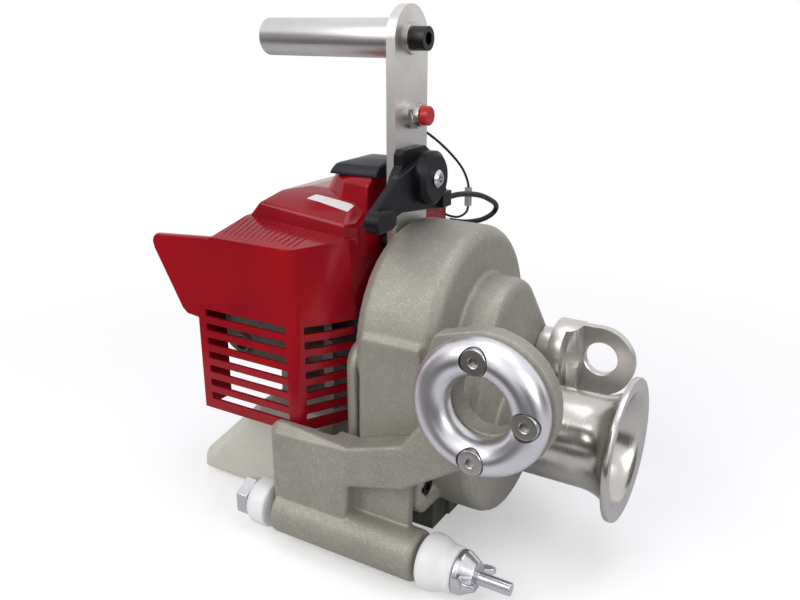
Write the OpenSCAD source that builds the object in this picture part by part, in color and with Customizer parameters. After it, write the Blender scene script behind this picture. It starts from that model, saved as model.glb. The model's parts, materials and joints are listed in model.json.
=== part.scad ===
// Petrol capstan winch. Millimetres, +Z up, +X from the engine towards the drum's mouth.
// X = 0 is the rear joint face of the gear housing, Y = 0 the centre plane of engine and drum,
// Z = 0 the surface that the foot and the fuel tank stand on.

/* [Main axes] */
// Height of the crankshaft axis above the standing surface
crank_h = 177.5; // [170:0.5:190]
// Height of the grip's axis above the standing surface
grip_h = 405; // [395:1:430]

/* [Gears] */
// Module of the first and second reduction
first_module = 1.25; // [1.2:0.01:1.28]
// Module of the final reduction
final_module = 1.5; // [1.46:0.01:1.54]
// Teeth of the pinion on the clutch drum
input_teeth = 12; // [12:1:14]
// Teeth of the large lay gear
lay_big_teeth = 54; // [52:1:54]
// Teeth of the small lay gear
lay_small_teeth = 16; // [16:1:18]
// Teeth of the final pinion
final_pinion_teeth = 14; // [14:1:15]
// Teeth of the wheel on the drum shaft
wheel_teeth = 80; // [79:1:81]
// Face width of the first two reductions
first_face = 9; // [8:0.5:10]
// Face width of the final reduction
final_face = 14; // [12:0.5:15]
// Half of the play between two flanks, at the pitch circle
flank_play = 0.07; // [0.05:0.01:0.12]

/* [Gear housing] */
// Outer radius of the first stage
stage1_r = 88; // [87:0.5:92]
// Front face of the first stage
stage1_x = 68; // [68:0.5:72]
// Wall of the housing
housing_wall = 8; // [7:0.5:9]
// Front face of the second stage
stage2_x = 97; // [97:0.5:102]
// Outer radius of the second stage round the drum axis
stage2_r = 77.5; // [75:0.5:82]
// Outer radius of the second stage round the crankshaft axis
stage2_top_r = 50; // [44:1:52]
// Half width of the lower block
block_y = 90; // [88:0.5:94]
// Underside of the lower block
block_z = 52; // [48:1:56]
// Radius of the cast edges
cast_edge = 11.5; // [8:0.5:13]

/* [Drum] */
// Radius of the rope seat
drum_r = 37.5; // [34:0.5:40]
// Radius of the flared rim
rim_r = 56.4; // [52:0.2:60]
// Length of the drum with its rim
drum_len = 78.5; // [74:0.5:84]
// Gap between the housing nose and the drum
drum_gap = 1.5; // [1:0.1:3]

/* [Grip] */
// Length of the grip
grip_len = 130; // [110:1:150]
// Radius of the grip
grip_r = 15; // [12:0.5:18]
// Width of the handle bar
bar_w = 50; // [44:1:56]
// Thickness of the handle bar
bar_t = 8; // [6:0.5:9]
// Height of the stop switch
switch_h = 348; // [342:1:355]
// Height of the throttle lever's axis
throttle_h = 300; // [297:1:304]

/* [Rope guide] */
// Radius of the guide ring's centre line
ring_r = 36.5; // [35:0.5:39]
// Radius of the guide ring's section
ring_tube_r = 13.2; // [12:0.2:14]
// Place of the guide ring along X
ring_x = 119.5; // [117:0.5:122]
// Height of the guide ring's centre
ring_z = 174; // [171:0.5:177]
// Thickness of the round lug behind the ring
lug_t = 16; // [12:1:17]

/* [Side bracket] */
// Thickness of the bracket plate
bracket_t = 22; // [18:1:24]
// Height of the bracket pin's axis
pin_h = 27.5; // [27:0.5:32]
// Outer radius of the bracket's tube
tube_r = 20.3; // [18:0.1:21]
// Radius of the bracket pin
pin_r = 8; // [6:0.5:9]
// Largest radius of the right roller
roller_r = 22; // [20:0.1:24]

/* [Swivel eye] */
// Distance of the swivel's axis from the centre plane
eye_y = 60; // [58:0.5:62]
// Height of the swivel's axis
eye_h = 149.7; // [148:0.1:153]
// Radius of the eye's disc and tongue
eye_r = 29.8; // [27:0.1:31]
// Radius of the hole through the tongue
eye_hole_r = 14; // [11:0.5:15]
// Thickness of the tongue
eye_t = 8; // [6:0.5:12]

/* [Engine] */
// Distance of the cylinder's axis behind the joint face
cylinder_x = 82; // [81:0.5:84]
// Radius of the piston
piston_r = 22; // [20:0.5:23]
// Half width of the engine cover
cover_y = 98; // [96:0.5:102]
// Wall of the engine cover
cover_wall = 2.5; // [2:0.1:3]
// Lower edge of the engine cover
cover_low = 100; // [96:1:106]
// Number of slots in each side of the cover
slots = 7; // [5:1:7]
// Length of the fuel tank
tank_len = 160; // [150:1:165]
// Half width of the fuel tank
tank_y = 62; // [56:1:66]

/* [Hidden] */
$fn = 64;
soft_fn = 32;
fit = 0.05;
seat = 0.02;
eps = 0.01;

drum_h = crank_h - final_module * (final_pinion_teeth + wheel_teeth) / 2;
mid_teeth = input_teeth + lay_big_teeth - lay_small_teeth;
lay_h = crank_h + first_module * (input_teeth + lay_big_teeth) / 2;
stage1_in_r = stage1_r - housing_wall;
wall_in_x = stage1_x - housing_wall;
stage2_in_x = stage2_x - 9;
wheel_space_r = final_module * wheel_teeth / 2 + 3.5;
pinion_space_r = final_module * final_pinion_teeth / 2 + 5.5;
block_x = stage1_x - 6;
block_top = crank_h + 18.5;

// Rear plate and engine joint
plate_t = 14;
spigot_r = 60;
clutch_bore_r = 41;
bar_foot_z = 205;

// Bearings as [inner radius, outer radius, width]
bearing_12 = [6, 14, 8];
bearing_10 = [5, 13, 8];
bearing_8 = [4, 9.5, 6];
bearing_17 = [8.5, 15, 7];
bearing_30 = [15, 31, 16];
bearing_15 = [7.5, 17.5, 11];
seal_r = 26;
seal_t = 7;

// Gear train along X
clutch_x = 8;
clutch_len = 19;
clutch_r = 40;
clutch_wall = 2.5;
clutch_plate_x = 29.5;
clutch_plate_t = 8;
first_x = 39;
second_x = 50.5;
carrier_x = 61;
carrier_t = 9;
final_x = 73;
nose_r = 38;
nose_x = stage2_in_x + 2 + bearing_30[2] + seal_t;
drum_x = nose_x + drum_gap;
drum_end = drum_x + drum_len;
big_spline_r = 15;
mid_hex = 14;
lay_hex = 10;
final_hex = 10;
input_hex = 7;

// Swivel eye
eye_disc_x = stage2_x + 13.5;
eye_disc_t = 11.5;
eye_neck_r = 19.8;
eye_stud_r = 8;
eye_hole_x = eye_disc_x + eye_disc_t + 27.4;
eye_hole_up = 2.8;
eye_end_x = eye_hole_x - 2;
eye_fillet = 11;
ear_r = 23;

// Side bracket
bracket_y = -block_y;
bracket_front = bracket_y - bracket_t;
pin_y = bracket_y - bracket_t / 2;
bracket_left = -72;
tube_end = 68.6;
bracket_top = 111;
web_t = 8;
lug_r = 51;
ear_reach = 49.2;
ear_end_r = 8;
ear_angle = 135;
lug_back = bracket_y - 0.5;
lug_front = lug_back - lug_t;
ring_hole_r = ring_r - ring_tube_r;
ring_cut = 8;
ring_y = lug_front - ring_cut;
ring_angles = [91, 0, 269];
left_roller_len = 20;
right_roller_x = tube_end + 3.4;
right_roller_len = 28.6;

// M8 socket screws as [shank radius, head radius, head height]
m8 = [4, 6.5, 8];
corner_y = 78;
corner_z = block_z + 23;
bar_screw_y = 14;
bar_screw_z = 248;
foot_x = [-14, 46];
foot_y = 30;
foot_screw_x = 22;
foot_screw_y = 13;
foot_wall = 8;
bracket_screw_x = [20, 48];
bracket_screw_z = 92;
lower_box_y = 64;
lower_box_z = [block_z + 10, crank_h - 57];

// Stop switch and throttle
switch_r = 8;
button_r = 7.5;
button_travel = 3;
base_t = 8;
lever_t = 6;
lever_gap = 0.4;
knob_r = 21.5;
knob_t = 9;
knob_screw_r = 3;
lever_hub_r = 17;

// Engine along X, behind the joint face
fan_x = [-44, -plate_t];
fan_r = 54;
case_x = [-128, -44];
case_r = 35.8;
web_r = 24;
web_gap = 10;
web_t2 = 9;
rod_len = 52;
crank_throw = 14;
crank_pin_r = 6;
shaft_r = 7.5;
deck_z = crank_h + 36;
fin_n = 7;
fin_pitch = 6.8;
head_z = deck_z + 6 + fin_n * fin_pitch;
starter_x = [-172, case_x[0]];
starter_r = 64;
pulley_r = 28;
handle_x = -158;
cover_back = -149;
cover_front = -18;
cover_corner = -50;
shoulder_z = 254;
fold_ledge = 0.8;
panel_z = 266;
hood_y = 61;
hood_z = 278;
hood_top = 290.5;
boss_top = 301.5;
cap_top = 313;
tank_back = -208;
tank_top = 92;
cap_x = -112;
cap_z = 52;

// Middle of the throttle cable, from the lever's base to the sleeve on the engine
cable_d = 5;
cable_points = [
    [8.5, 46, 275.5], [9, 52, 275], [10, 64, 274.5], [10, 84, 271.5], [10, 110, 265.5], [9, 134, 257],
    [7, 152, 249], [4, 159, 242], [0, 156, 236.5], [-5, 145, 233.5], [-12, 131, 233.5], [-19, 120, 235.5],
    [-24, 113, 237.4], [-24.6, 112, 237.6]
];
// Its end inside the cover, from the gland to the carburettor
cable_tail = [[-24.6, 92, 237.6], [-28, 86, 240], [-38, 79, 243], [-50, 75, 243], [-63.9, 75, 243]];
gland_r = 3.7;
gland_y = [cable_tail[0][1], 112];
// Middle of the stop wire, from the switch through the splice to the engine cover
wire_d = 2.2;
wire_points = [
    [-17, 0, 348], [-22, 1, 348.5], [-24, 8, 348], [-24, 22, 345], [-18, 45, 332], [-12, 62, 321],
    [-8, 82, 307], [-6, 100, 293], [-6, 112, 281], [-6, 117.5, 271], [-6, 117.5, 261], [-6, 117.5, 251],
    [-7, 114, 246], [-12, 108, 243], [-20, 104, 244.5], [-24, 102, 247], [-24, 98, 247]
];
splice_z = [253, 270];

// Plain solids along the axes
module xcyl(x0, x1, r) {
    translate([x0, 0, 0]) rotate([0, 90, 0]) cylinder(r = r, h = x1 - x0);
}
module xcone(x0, x1, r0, r1) {
    translate([x0, 0, 0]) rotate([0, 90, 0]) cylinder(r1 = r0, r2 = r1, h = x1 - x0);
}
module ycyl(y0, y1, r) {
    translate([0, y0, 0]) rotate([-90, 0, 0]) cylinder(r = r, h = y1 - y0);
}
module xtorus(x, ring, r) {
    translate([x, 0, 0]) rotate([0, 90, 0]) rotate_extrude() translate([ring, 0]) circle(r);
}
module xring(x0, x1, r_in, r_out) {
    difference() {
        xcyl(x0, x1, r_out);
        xcyl(x0 - 1, x1 + 1, r_in);
    }
}
module xhex(x0, x1, across, turn = 0) {
    translate([x0, 0, 0]) rotate([turn, 0, 0]) rotate([0, 90, 0])
        cylinder(r = across / 2 / cos(30), h = x1 - x0, $fn = 6);
}
// A cylinder along X with both edges drawn in
module soft_rod(x0, x1, r, edge0, edge1) {
    xcyl(x0 + edge0, x1 - edge1, r, $fn = soft_fn);
    xcyl(x0, x1, r - max(edge0, edge1), $fn = soft_fn);
}
// A flat outline in Y and Z, drawn out along X
module along_x(x0, x1) {
    translate([x0, 0, 0]) rotate([90, 0, 90]) linear_extrude(x1 - x0) children();
}
// A flat outline in X and Z, drawn out along Y
module along_y(y0, y1) {
    translate([0, y1, 0]) rotate([90, 0, 0]) linear_extrude(y1 - y0) children();
}
module at_crank() translate([0, 0, crank_h]) children();
module at_drum() translate([0, 0, drum_h]) children();
module at_lay() translate([0, 0, lay_h]) children();
module at_eye() translate([0, eye_y, eye_h]) children();
module at_pin() translate([0, pin_y, pin_h]) children();
module both_sides() {
    children();
    mirror([0, 1, 0]) children();
}
module bearing(x0, b) color("silver") xring(x0, x0 + b[2], b[0] + fit, b[1] - seat);

// Half of the angle that a tooth takes up at radius r, in degrees
function roll(r, rb) = r <= rb ? 0 : tan(acos(rb / r)) * 180 / PI - acos(rb / r);
function half_tooth(m, z, r) =
    90 / z - flank_play / (m * z / 2) * 180 / PI
    + roll(m * z / 2, m * z / 2 * cos(20)) - roll(r, m * z / 2 * cos(20));
// Outline of a spur gear with a tooth at the given angle
function gear_points(m, z, first) = let (
    rp = m * z / 2,
    radii = [rp - 1.1 * m, rp - 0.35 * m, rp + 0.25 * m, rp + 0.8 * m]
) [
    for (i = [0:z - 1]) for (j = [0:7])
        let (r = radii[j < 4 ? j : 7 - j], side = j < 4 ? -1 : 1)
        let (a = first + i * 360 / z + side * half_tooth(m, z, r))
        [r * cos(a), r * sin(a)]
];
module gear(x0, x1, m, z, first) {
    along_x(x0, x1) polygon(gear_points(m, z, first));
}

// A tube of six or eight flats along a list of points
function unit(v) = v / norm(v);
function heading(p, i) = unit(p[min(i + 1, len(p) - 1)] - p[max(i - 1, 0)]);
module cord(points, radii, sides) {
    rings = [
        for (i = [0:len(points) - 1])
            let (t = heading(points, i), u = unit(cross(t, [0.1, 0.2, 1])), v = cross(t, u))
            for (k = [0:sides - 1]) points[i] + radii[i] * (cos(360 * k / sides) * u + sin(360 * k / sides) * v)
    ];
    last = (len(points) - 1) * sides;
    walls = [
        for (i = [0:len(points) - 2]) for (k = [0:sides - 1])
            let (n = (k + 1) % sides, a = i * sides) each [
                [a + k, a + n, a + sides + n],
                [a + k, a + sides + n, a + sides + k]
            ]
    ];
    caps = [
        [for (k = [0:sides - 1]) sides - 1 - k],
        [for (k = [0:sides - 1]) last + k]
    ];
    polyhedron(rings, concat(walls, caps));
}
function even(p, r) = [for (i = p) r];
// A smooth curve through the points, with n steps between neighbours
function blend_point(p, i, s) = let (
    a = p[max(i - 1, 0)], b = p[i], c = p[i + 1], d = p[min(i + 2, len(p) - 1)]
) 0.5 * (2 * b + (c - a) * s + (2 * a - 5 * b + 4 * c - d) * s * s + (3 * b - a - 3 * c + d) * s * s * s);
function smooth_path(p, n) = [
    for (i = [0:len(p) - 2]) for (s = [0:n - 1]) blend_point(p, i, s / n),
    p[len(p) - 1]
];

// Socket screw along +X from its head's bearing face, which lies at the origin
module socket_screw(size, len) {
    difference() {
        union() {
            xcyl(-size[2], 0, size[1]);
            xcyl(-eps, len, size[0] - 0.1);
        }
        xhex(-size[2] - 1, -size[2] / 2, size[0] * 1.5);
    }
}

module stage2_slice(x, inset) {
    at_drum() xcyl(x - 1, x, stage2_r - inset, $fn = 48);
    at_crank() xcyl(x - 1, x, stage2_top_r - inset, $fn = 48);
    at_eye() xcyl(x - 1, x, ear_r - inset, $fn = soft_fn);
}

module gear_housing() color("darkkhaki") difference() {
    union() {
        at_crank() {
            xcone(0, 8, stage1_r - 3.7, stage1_r);
            xcyl(8 - eps, stage1_x - cast_edge, stage1_r);
            xcyl(stage1_x - cast_edge - eps, stage1_x, stage1_r - cast_edge);
            xtorus(stage1_x - cast_edge, stage1_r - cast_edge, cast_edge);
        }
        hull() both_sides() {
            translate([0, block_y - 12, block_z + 12]) soft_rod(0, block_x, 12, 7, 3);
            translate([0, block_y - 6, block_top - 6]) soft_rod(0, block_x, 6, 7, 3);
        }
        hull() {
            stage2_slice(stage1_x - 7, 0);
            stage2_slice(stage2_x - 8, 0);
            stage2_slice(stage2_x - 2.4, 2.4);
            stage2_slice(stage2_x, 8);
        }
        at_drum() xcyl(stage2_x - eps, nose_x, nose_r);
    }
    at_crank() xcyl(-1, wall_in_x, stage1_in_r);
    translate([-1, -lower_box_y, lower_box_z[0]])
        cube([wall_in_x - 1, 2 * lower_box_y, lower_box_z[1] - lower_box_z[0]]);
    at_drum() {
        xcyl(wall_in_x - 1, stage2_in_x, wheel_space_r);
        xcyl(stage2_in_x - 1, nose_x - seal_t, bearing_30[1]);
        xcyl(nose_x - seal_t - 1, nose_x + 1, seal_r);
    }
    at_crank() {
        xcyl(wall_in_x - 1, carrier_x + carrier_t, 30);
        xcyl(carrier_x, stage2_in_x, pinion_space_r);
        xcyl(stage2_in_x - 1, stage2_in_x + bearing_10[2] + 0.5, bearing_10[1]);
    }
    at_lay() xcyl(wall_in_x - 1, wall_in_x + 7, bearing_8[1]);
    at_eye() xcyl(wall_in_x - 1, stage2_x + 1, eye_stud_r + fit);
    for (s = [-1, 1]) {
        translate([0, s * corner_y, corner_z]) {
            xcyl(-1, block_x + 1, m8[0] + 0.2);
            xcyl(block_x - m8[2] - 1, block_x + 1, m8[1] + 0.5);
        }
        translate([foot_screw_x, s * foot_screw_y, block_z - 1]) cylinder(r = m8[0], h = 9);
    }
    for (x = bracket_screw_x) translate([x, 0, bracket_screw_z]) ycyl(-block_y - 1, -lower_box_y + 1, m8[0] + 0.2);
}

module rear_plate() color("gray") difference() {
    union() {
        at_crank() {
            xcyl(0, 6, stage1_in_r - 0.1);
            xcyl(-plate_t, eps, spigot_r);
        }
        hull() both_sides() {
            translate([0, block_y - 17, block_z + 14]) soft_rod(-plate_t, 0, 12, 8, 0.5);
            translate([0, block_y - 30, crank_h - 18]) soft_rod(-plate_t, 0, 25, 8, 0.5);
        }
    }
    translate([-bar_t, -bar_w / 2 - 0.1, bar_foot_z - 0.1]) cube([bar_t, bar_w + 0.2, 90]);
    at_crank() xcyl(-plate_t - 1, 7, clutch_bore_r);
    for (s = [-1, 1]) {
        translate([0, s * corner_y, corner_z]) xcyl(-plate_t - 1, 1, m8[0]);
        translate([0, s * bar_screw_y, bar_screw_z]) xcyl(-1, 7, m8[0]);
    }
}

module m8_screws() color("dimgray") {
    for (s = [-1, 1]) {
        translate([block_x - m8[2] - 0.9, s * corner_y, corner_z])
            mirror([1, 0, 0]) socket_screw(m8, block_x - m8[2] + plate_t - 2);
        translate([-bar_t, s * bar_screw_y, bar_screw_z]) socket_screw(m8, bar_t + 6);
        translate([foot_screw_x, s * foot_screw_y, block_z - foot_wall])
            rotate([0, -90, 0]) socket_screw(m8, foot_wall + 7);
    }
    for (x = bracket_screw_x) translate([x, -lower_box_y, bracket_screw_z])
        rotate([0, 0, -90]) socket_screw(m8, block_y - lower_box_y + 14);
}

module base_foot() color("darkslategray") difference() {
    union() {
        translate([foot_x[0], -foot_y, 0]) cube([foot_x[1] - foot_x[0] - 6, 2 * foot_y, block_z]);
        translate([foot_x[1] - 7, -11, 6]) cube([7, 22, block_z - 20]);
    }
    translate([foot_x[0] - 1, -foot_y + foot_wall, foot_wall])
        cube([foot_x[1] - foot_x[0] - foot_wall - 5, 2 * (foot_y - foot_wall), block_z - 2 * foot_wall]);
    for (s = [-1, 1]) translate([foot_screw_x, s * foot_screw_y, block_z - foot_wall - 1])
        cylinder(r = m8[0] + 0.2, h = foot_wall + 2);
}

module handle_bar() color("lightgray") difference() {
    along_x(-bar_t, 0) {
        translate([-bar_w / 2, bar_foot_z]) square([bar_w, grip_h - bar_foot_z]);
        translate([0, grip_h]) circle(r = bar_w / 2);
    }
    translate([0, 0, grip_h]) xcyl(-bar_t - 1, 1, 6.2);
    translate([0, 0, switch_h]) xcyl(-bar_t - 1, 1, switch_r + 0.1);
    translate([0, 0, throttle_h]) xcyl(-bar_t - 1, 1, knob_screw_r);
    for (s = [-1, 1]) translate([0, s * bar_screw_y, bar_screw_z]) xcyl(-bar_t - 1, 1, m8[0] + 0.2);
}

module handle_grip() color("silver") translate([-bar_t, 0, grip_h]) difference() {
    union() {
        xcyl(-grip_len + 1.5, 0, grip_r);
        xcone(-grip_len, -grip_len + 1.5 + eps, grip_r - 1.5, grip_r);
    }
    xcyl(-34, 1, 6);
}

module grip_washer() color("silver") translate([0, 0, grip_h]) xring(0, 2.5, 6.4, 12);

module grip_screw() color("black") translate([2.5, 0, grip_h]) mirror([1, 0, 0])
    socket_screw([6, 9, 12], bar_t + 2.5 + 28);

module switch_body() color("silver") translate([0, 0, switch_h]) difference() {
    union() {
        xcyl(-bar_t - 9, -bar_t, 9);
        xcyl(-bar_t - eps, 1, switch_r);
        xcyl(0, 3, 11);
        xhex(2.5, 6.5, 18);
        xcyl(6, 10.5, 9);
    }
    xcyl(5, 12, button_r + 0.1);
    xcyl(-4, 6, 4.1);
}

module stop_button() color("red") translate([0, 0, switch_h]) {
    xcyl(5 + button_travel + 0.5, 15.8, button_r);
    xcone(15.8 - eps, 17, button_r, button_r - 1.2);
    xcyl(-4 + button_travel + 0.5, 9, 4);
}

module throttle_base() color("black") difference() {
    union() {
        along_x(0, base_t) translate([0, throttle_h]) polygon([
            [-28, 21], [-24, 24], [8, 24], [22, 16], [34, -2], [46, -17],
            [46, -32], [30, -32], [14, -29], [-44, -22], [-48, -18], [-34, 6], [-28, 12]
        ]);
        translate([0, 31, throttle_h - 31]) cube([13, 15, 13]);
    }
    translate([0, 0, throttle_h]) xcyl(-1, base_t + 1, knob_screw_r);
}

module throttle_lever() color("black") translate([base_t + lever_gap, 0, throttle_h]) difference() {
    union() {
        xcyl(0, lever_t, lever_hub_r);
        hull() {
            translate([0, -4, 1]) soft_rod(0, lever_t, 15, 0.3, 0.6);
            translate([0, -40, -6]) soft_rod(0, lever_t, 13, 0.3, 1);
            translate([0, -74, -20.5]) soft_rod(0, lever_t, 8, 0.3, 1);
        }
        hull() {
            translate([0, -60, -22]) soft_rod(0, lever_t + 4, 8, 0.3, 1.5);
            translate([0, -75, -21]) soft_rod(0, lever_t + 5, 8.5, 0.3, 2);
        }
    }
    xcyl(-1, lever_t + 8, knob_screw_r + 0.05);
}

knob_x = base_t + lever_gap + lever_t;
module friction_knob() color("black") translate([knob_x, 0, throttle_h]) difference() {
    union() {
        xcyl(0, knob_t - 3, knob_r);
        xcone(knob_t - 3 - eps, knob_t, knob_r, knob_r - 3.5);
    }
    xcyl(-1, knob_t + 1, knob_screw_r + 0.05);
    xcyl(knob_t - 1, knob_t + 1, 7.4);
}

module knob_screw() color("silver") translate([knob_x + knob_t - 0.6, 0, throttle_h]) difference() {
    union() {
        xcyl(0, 2, 7);
        xcone(2 - eps, 4, 7, 5);
        xcyl(-knob_x - knob_t + 0.6 - bar_t, eps, knob_screw_r - 0.03);
    }
    xhex(1.5, 5, 6);
}

module throttle_cable() color("black") {
    outer = smooth_path(cable_points, 2);
    tail = smooth_path(cable_tail, 2);
    gland = [cable_tail[0] + [0, gland_y[1] - gland_y[0] - 0.2, 0], cable_tail[0] + [0, 0.2, 0]];
    radii = concat(even(outer, cable_d / 2), even(gland, gland_r), even(tail, cable_d / 2));
    cord(concat(outer, gland, tail), radii, 8);
}
module stop_wire() color("black") {
    path = smooth_path(wire_points, 2);
    cord(path, even(path, wire_d / 2), 8);
}
module wire_connector() color("lightgray") translate([-6, 117.5, splice_z[0]]) difference() {
    cylinder(r = 3.4, h = splice_z[1] - splice_z[0]);
    translate([0, 0, -1]) cylinder(r = wire_d / 2 + 0.5, h = splice_z[1] - splice_z[0] + 2);
}

// Rope drum: outline of radius against length, from the housing side
flare_len = 26;
function flare(t) = drum_r + (rim_r - drum_r) * (1 - sqrt(1 - pow(t, 2.2)));
module drum() color("silver") translate([0, 0, drum_h]) difference() {
    translate([drum_x, 0, 0]) rotate([0, 90, 0]) rotate_extrude() polygon([
        [0, 0], [drum_r - 2, 0], [drum_r, 2], [drum_r, drum_len - flare_len - 4],
        for (i = [1:9]) [flare(i / 9.6), drum_len - 5 - flare_len * (1 - i / 9)],
        [rim_r, drum_len - 4.5], [rim_r, drum_len - 0.8], [rim_r - 1, drum_len],
        [rim_r - 6, drum_len], [rim_r - 12, drum_len - 3], [rim_r - 18, drum_len - 9],
        [rim_r - 22, drum_len - 18], [drum_r - 6, drum_len - 32], [drum_r - 7, drum_len - 42],
        [0, drum_len - 42]
    ]);
    xcyl(drum_x - 1, drum_x + 8, big_spline_r + 0.3);
    xcyl(drum_x + 7, drum_x + drum_len - 60 + 10, 12 + seat);
    xcyl(drum_x + 20, drum_x + drum_len, 5.4);
}
shaft_nose_x = drum_x + drum_len - 60 + 8;
module drum_shaft() color("dimgray") translate([0, 0, drum_h]) difference() {
    union() {
        xcyl(carrier_x + 1, final_x - 2, bearing_17[0]);
        translate([final_x - 2 - eps, 0, 0]) rotate([0, 90, 0])
            cylinder(r = big_spline_r, h = final_face + 3 + 2 * eps, $fn = 12);
        xcyl(final_x + final_face + 1, drum_x + 6, bearing_30[0]);
        xcyl(drum_x + 6 - eps, shaft_nose_x, 12);
    }
    xcyl(shaft_nose_x - 18, shaft_nose_x + 1, 5);
}
drum_floor_x = drum_x + drum_len - 42;
module drum_screw() color("dimgray") translate([0, 0, drum_h]) {
    translate([drum_floor_x + 3, 0, 0]) mirror([1, 0, 0])
        socket_screw([5, 8.5, 10], drum_floor_x + 3 - shaft_nose_x + 16);
    xring(drum_floor_x, drum_floor_x + 3, 5.3, 14);
}
module drum_seal() color("black") translate([0, 0, drum_h])
    xring(nose_x - seal_t + 0.2, nose_x, bearing_30[0] + fit, seal_r - seat);

module ball_bearings() {
    at_drum() {
        bearing(carrier_x + 1.5, bearing_17);
        bearing(stage2_in_x + 2, bearing_30);
    }
    at_crank() {
        bearing(carrier_x + 0.5, bearing_12);
        bearing(stage2_in_x, bearing_10);
        bearing(clutch_plate_x, bearing_12);
        bearing(-cylinder_x + web_gap / 2 + web_t2 + 1, bearing_15);
        bearing(-cylinder_x - web_gap / 2 - web_t2 - 1 - bearing_15[2], bearing_15);
    }
    at_lay() {
        bearing(clutch_plate_x + 1.5, bearing_8);
        bearing(wall_in_x + 0.8, bearing_8);
    }
}

// Gears, with teeth and gaps that face each other at rest
module output_gear() color("slategray") at_drum() difference() {
    gear(final_x, final_x + final_face, final_module, wheel_teeth, 90 + 180 / wheel_teeth);
    translate([final_x - 1, 0, 0]) rotate([0, 90, 0])
        cylinder(r = big_spline_r + 0.03, h = final_face + 2, $fn = 12);
}
module final_pinion() color("slategray") at_crank() difference() {
    gear(final_x - 0.5, final_x + final_face + 0.5, final_module, final_pinion_teeth, 270);
    xhex(final_x - 2, final_x + final_face + 2, final_hex + 0.05);
}
module mid_gear() color("slategray") at_crank() difference() {
    gear(second_x, second_x + first_face, first_module, mid_teeth, 90);
    xhex(second_x - 1, second_x + first_face + 1, mid_hex + 0.05);
}
module mid_shaft() color("dimgray") at_crank() {
    xhex(second_x - 1, carrier_x, mid_hex);
    xcyl(carrier_x - eps, carrier_x + carrier_t + 0.5, bearing_12[0]);
    xhex(carrier_x + carrier_t, stage2_in_x - 0.3, final_hex);
    xcyl(stage2_in_x - 0.5, stage2_in_x + bearing_10[2] - 0.5, bearing_10[0]);
}
module lay_gear() color("slategray") at_lay() difference() {
    union() {
        gear(first_x, first_x + first_face, first_module, lay_big_teeth, 270 + 180 / lay_big_teeth);
        gear(second_x - 0.5, second_x + first_face, first_module, lay_small_teeth, 270 + 180 / lay_small_teeth);
        translate([first_x + first_face - eps, 0, 0]) rotate([0, 90, 0])
            cylinder(r = 8, h = second_x - first_x - first_face, $fn = 12);
    }
    xhex(first_x - 1, second_x + first_face + 1, lay_hex + 0.05);
}
module lay_shaft() color("dimgray") at_lay() {
    xcyl(clutch_plate_x + 0.5, first_x - 1, bearing_8[0]);
    xhex(first_x - 1 - eps, second_x + first_face + 0.6, lay_hex);
    xcyl(second_x + first_face, wall_in_x + 6.4, bearing_8[0]);
}

module carrier_plate() color("darkgray") difference() {
    union() {
        at_drum() xcyl(carrier_x, carrier_x + carrier_t, wheel_space_r - 0.1);
        at_crank() xcyl(carrier_x, carrier_x + carrier_t, 29.9);
    }
    at_drum() xcyl(carrier_x - 1, carrier_x + carrier_t + 1, bearing_17[1]);
    at_crank() xcyl(carrier_x - 1, carrier_x + carrier_t + 1, bearing_12[1]);
}
module clutch_plate() color("darkgray") difference() {
    at_crank() xcyl(clutch_plate_x, clutch_plate_x + clutch_plate_t, stage1_in_r - 0.1);
    at_crank() xcyl(clutch_plate_x - 1, clutch_plate_x + clutch_plate_t + 1, bearing_12[1]);
    at_lay() xcyl(clutch_plate_x - 1, clutch_plate_x + clutch_plate_t + 1, bearing_8[1]);
}
module clutch_drum() color("dimgray") at_crank() {
    difference() {
        xcyl(clutch_x, clutch_x + clutch_len, clutch_r);
        xcyl(clutch_x - 1, clutch_x + clutch_len - 3, clutch_r - clutch_wall);
    }
    xcyl(clutch_x + clutch_len - eps, first_x - 1, bearing_12[0]);
    xhex(first_x - 1 - eps, first_x + first_face + 0.6, input_hex);
}
module input_pinion() color("slategray") at_crank() difference() {
    gear(first_x - 0.4, first_x + first_face + 0.4, first_module, input_teeth, 90);
    xhex(first_x - 2, first_x + first_face + 2, input_hex + 0.05);
}
module clutch_shoes() color("saddlebrown") at_crank() {
    for (a = [0, 120, 240]) rotate([a, 0, 0]) difference() {
        xcyl(clutch_x + 1, clutch_x + 14, clutch_r - clutch_wall - 1);
        xcyl(clutch_x, clutch_x + 15, 17);
        for (b = [61, 239]) rotate([b, 0, 0]) translate([clutch_x, -50, 0]) cube([15, 100, 50]);
    }
    difference() {
        xcyl(clutch_x + 3, clutch_x + 12, 17.5);
        xcyl(clutch_x, clutch_x + 15, 6 + seat);
    }
}

// Engine
module crankshaft() color("dimgray") at_crank() {
    xcyl(-cylinder_x + web_gap / 2, -cylinder_x + web_gap / 2 + web_t2, web_r);
    xcyl(-cylinder_x + web_gap / 2 + web_t2 - eps, fan_x[0] + 1, shaft_r);
    xcyl(fan_x[0], clutch_x + 16, 6);
    xcyl(-cylinder_x - web_gap / 2 - web_t2, -cylinder_x - web_gap / 2, web_r);
    xcyl(starter_x[0] + 7, -cylinder_x - web_gap / 2 - web_t2 + eps, shaft_r);
    translate([0, 0, crank_throw]) xcyl(-cylinder_x - web_gap / 2 - eps, -cylinder_x + web_gap / 2 + eps, crank_pin_r);
}
module flywheel() color("darkgray") at_crank() difference() {
    union() {
        xcyl(fan_x[0] + 4, fan_x[0] + 10, 46);
        xcyl(fan_x[0] + 3.5, fan_x[0] + 16, 14);
        for (a = [0:30:330]) rotate([a, 0, 0]) translate([fan_x[0] + 9, 16, -1.2]) cube([14, 30, 2.4]);
    }
    xcyl(fan_x[0] - 1, fan_x[0] + 30, 6 + seat);
}
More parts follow.
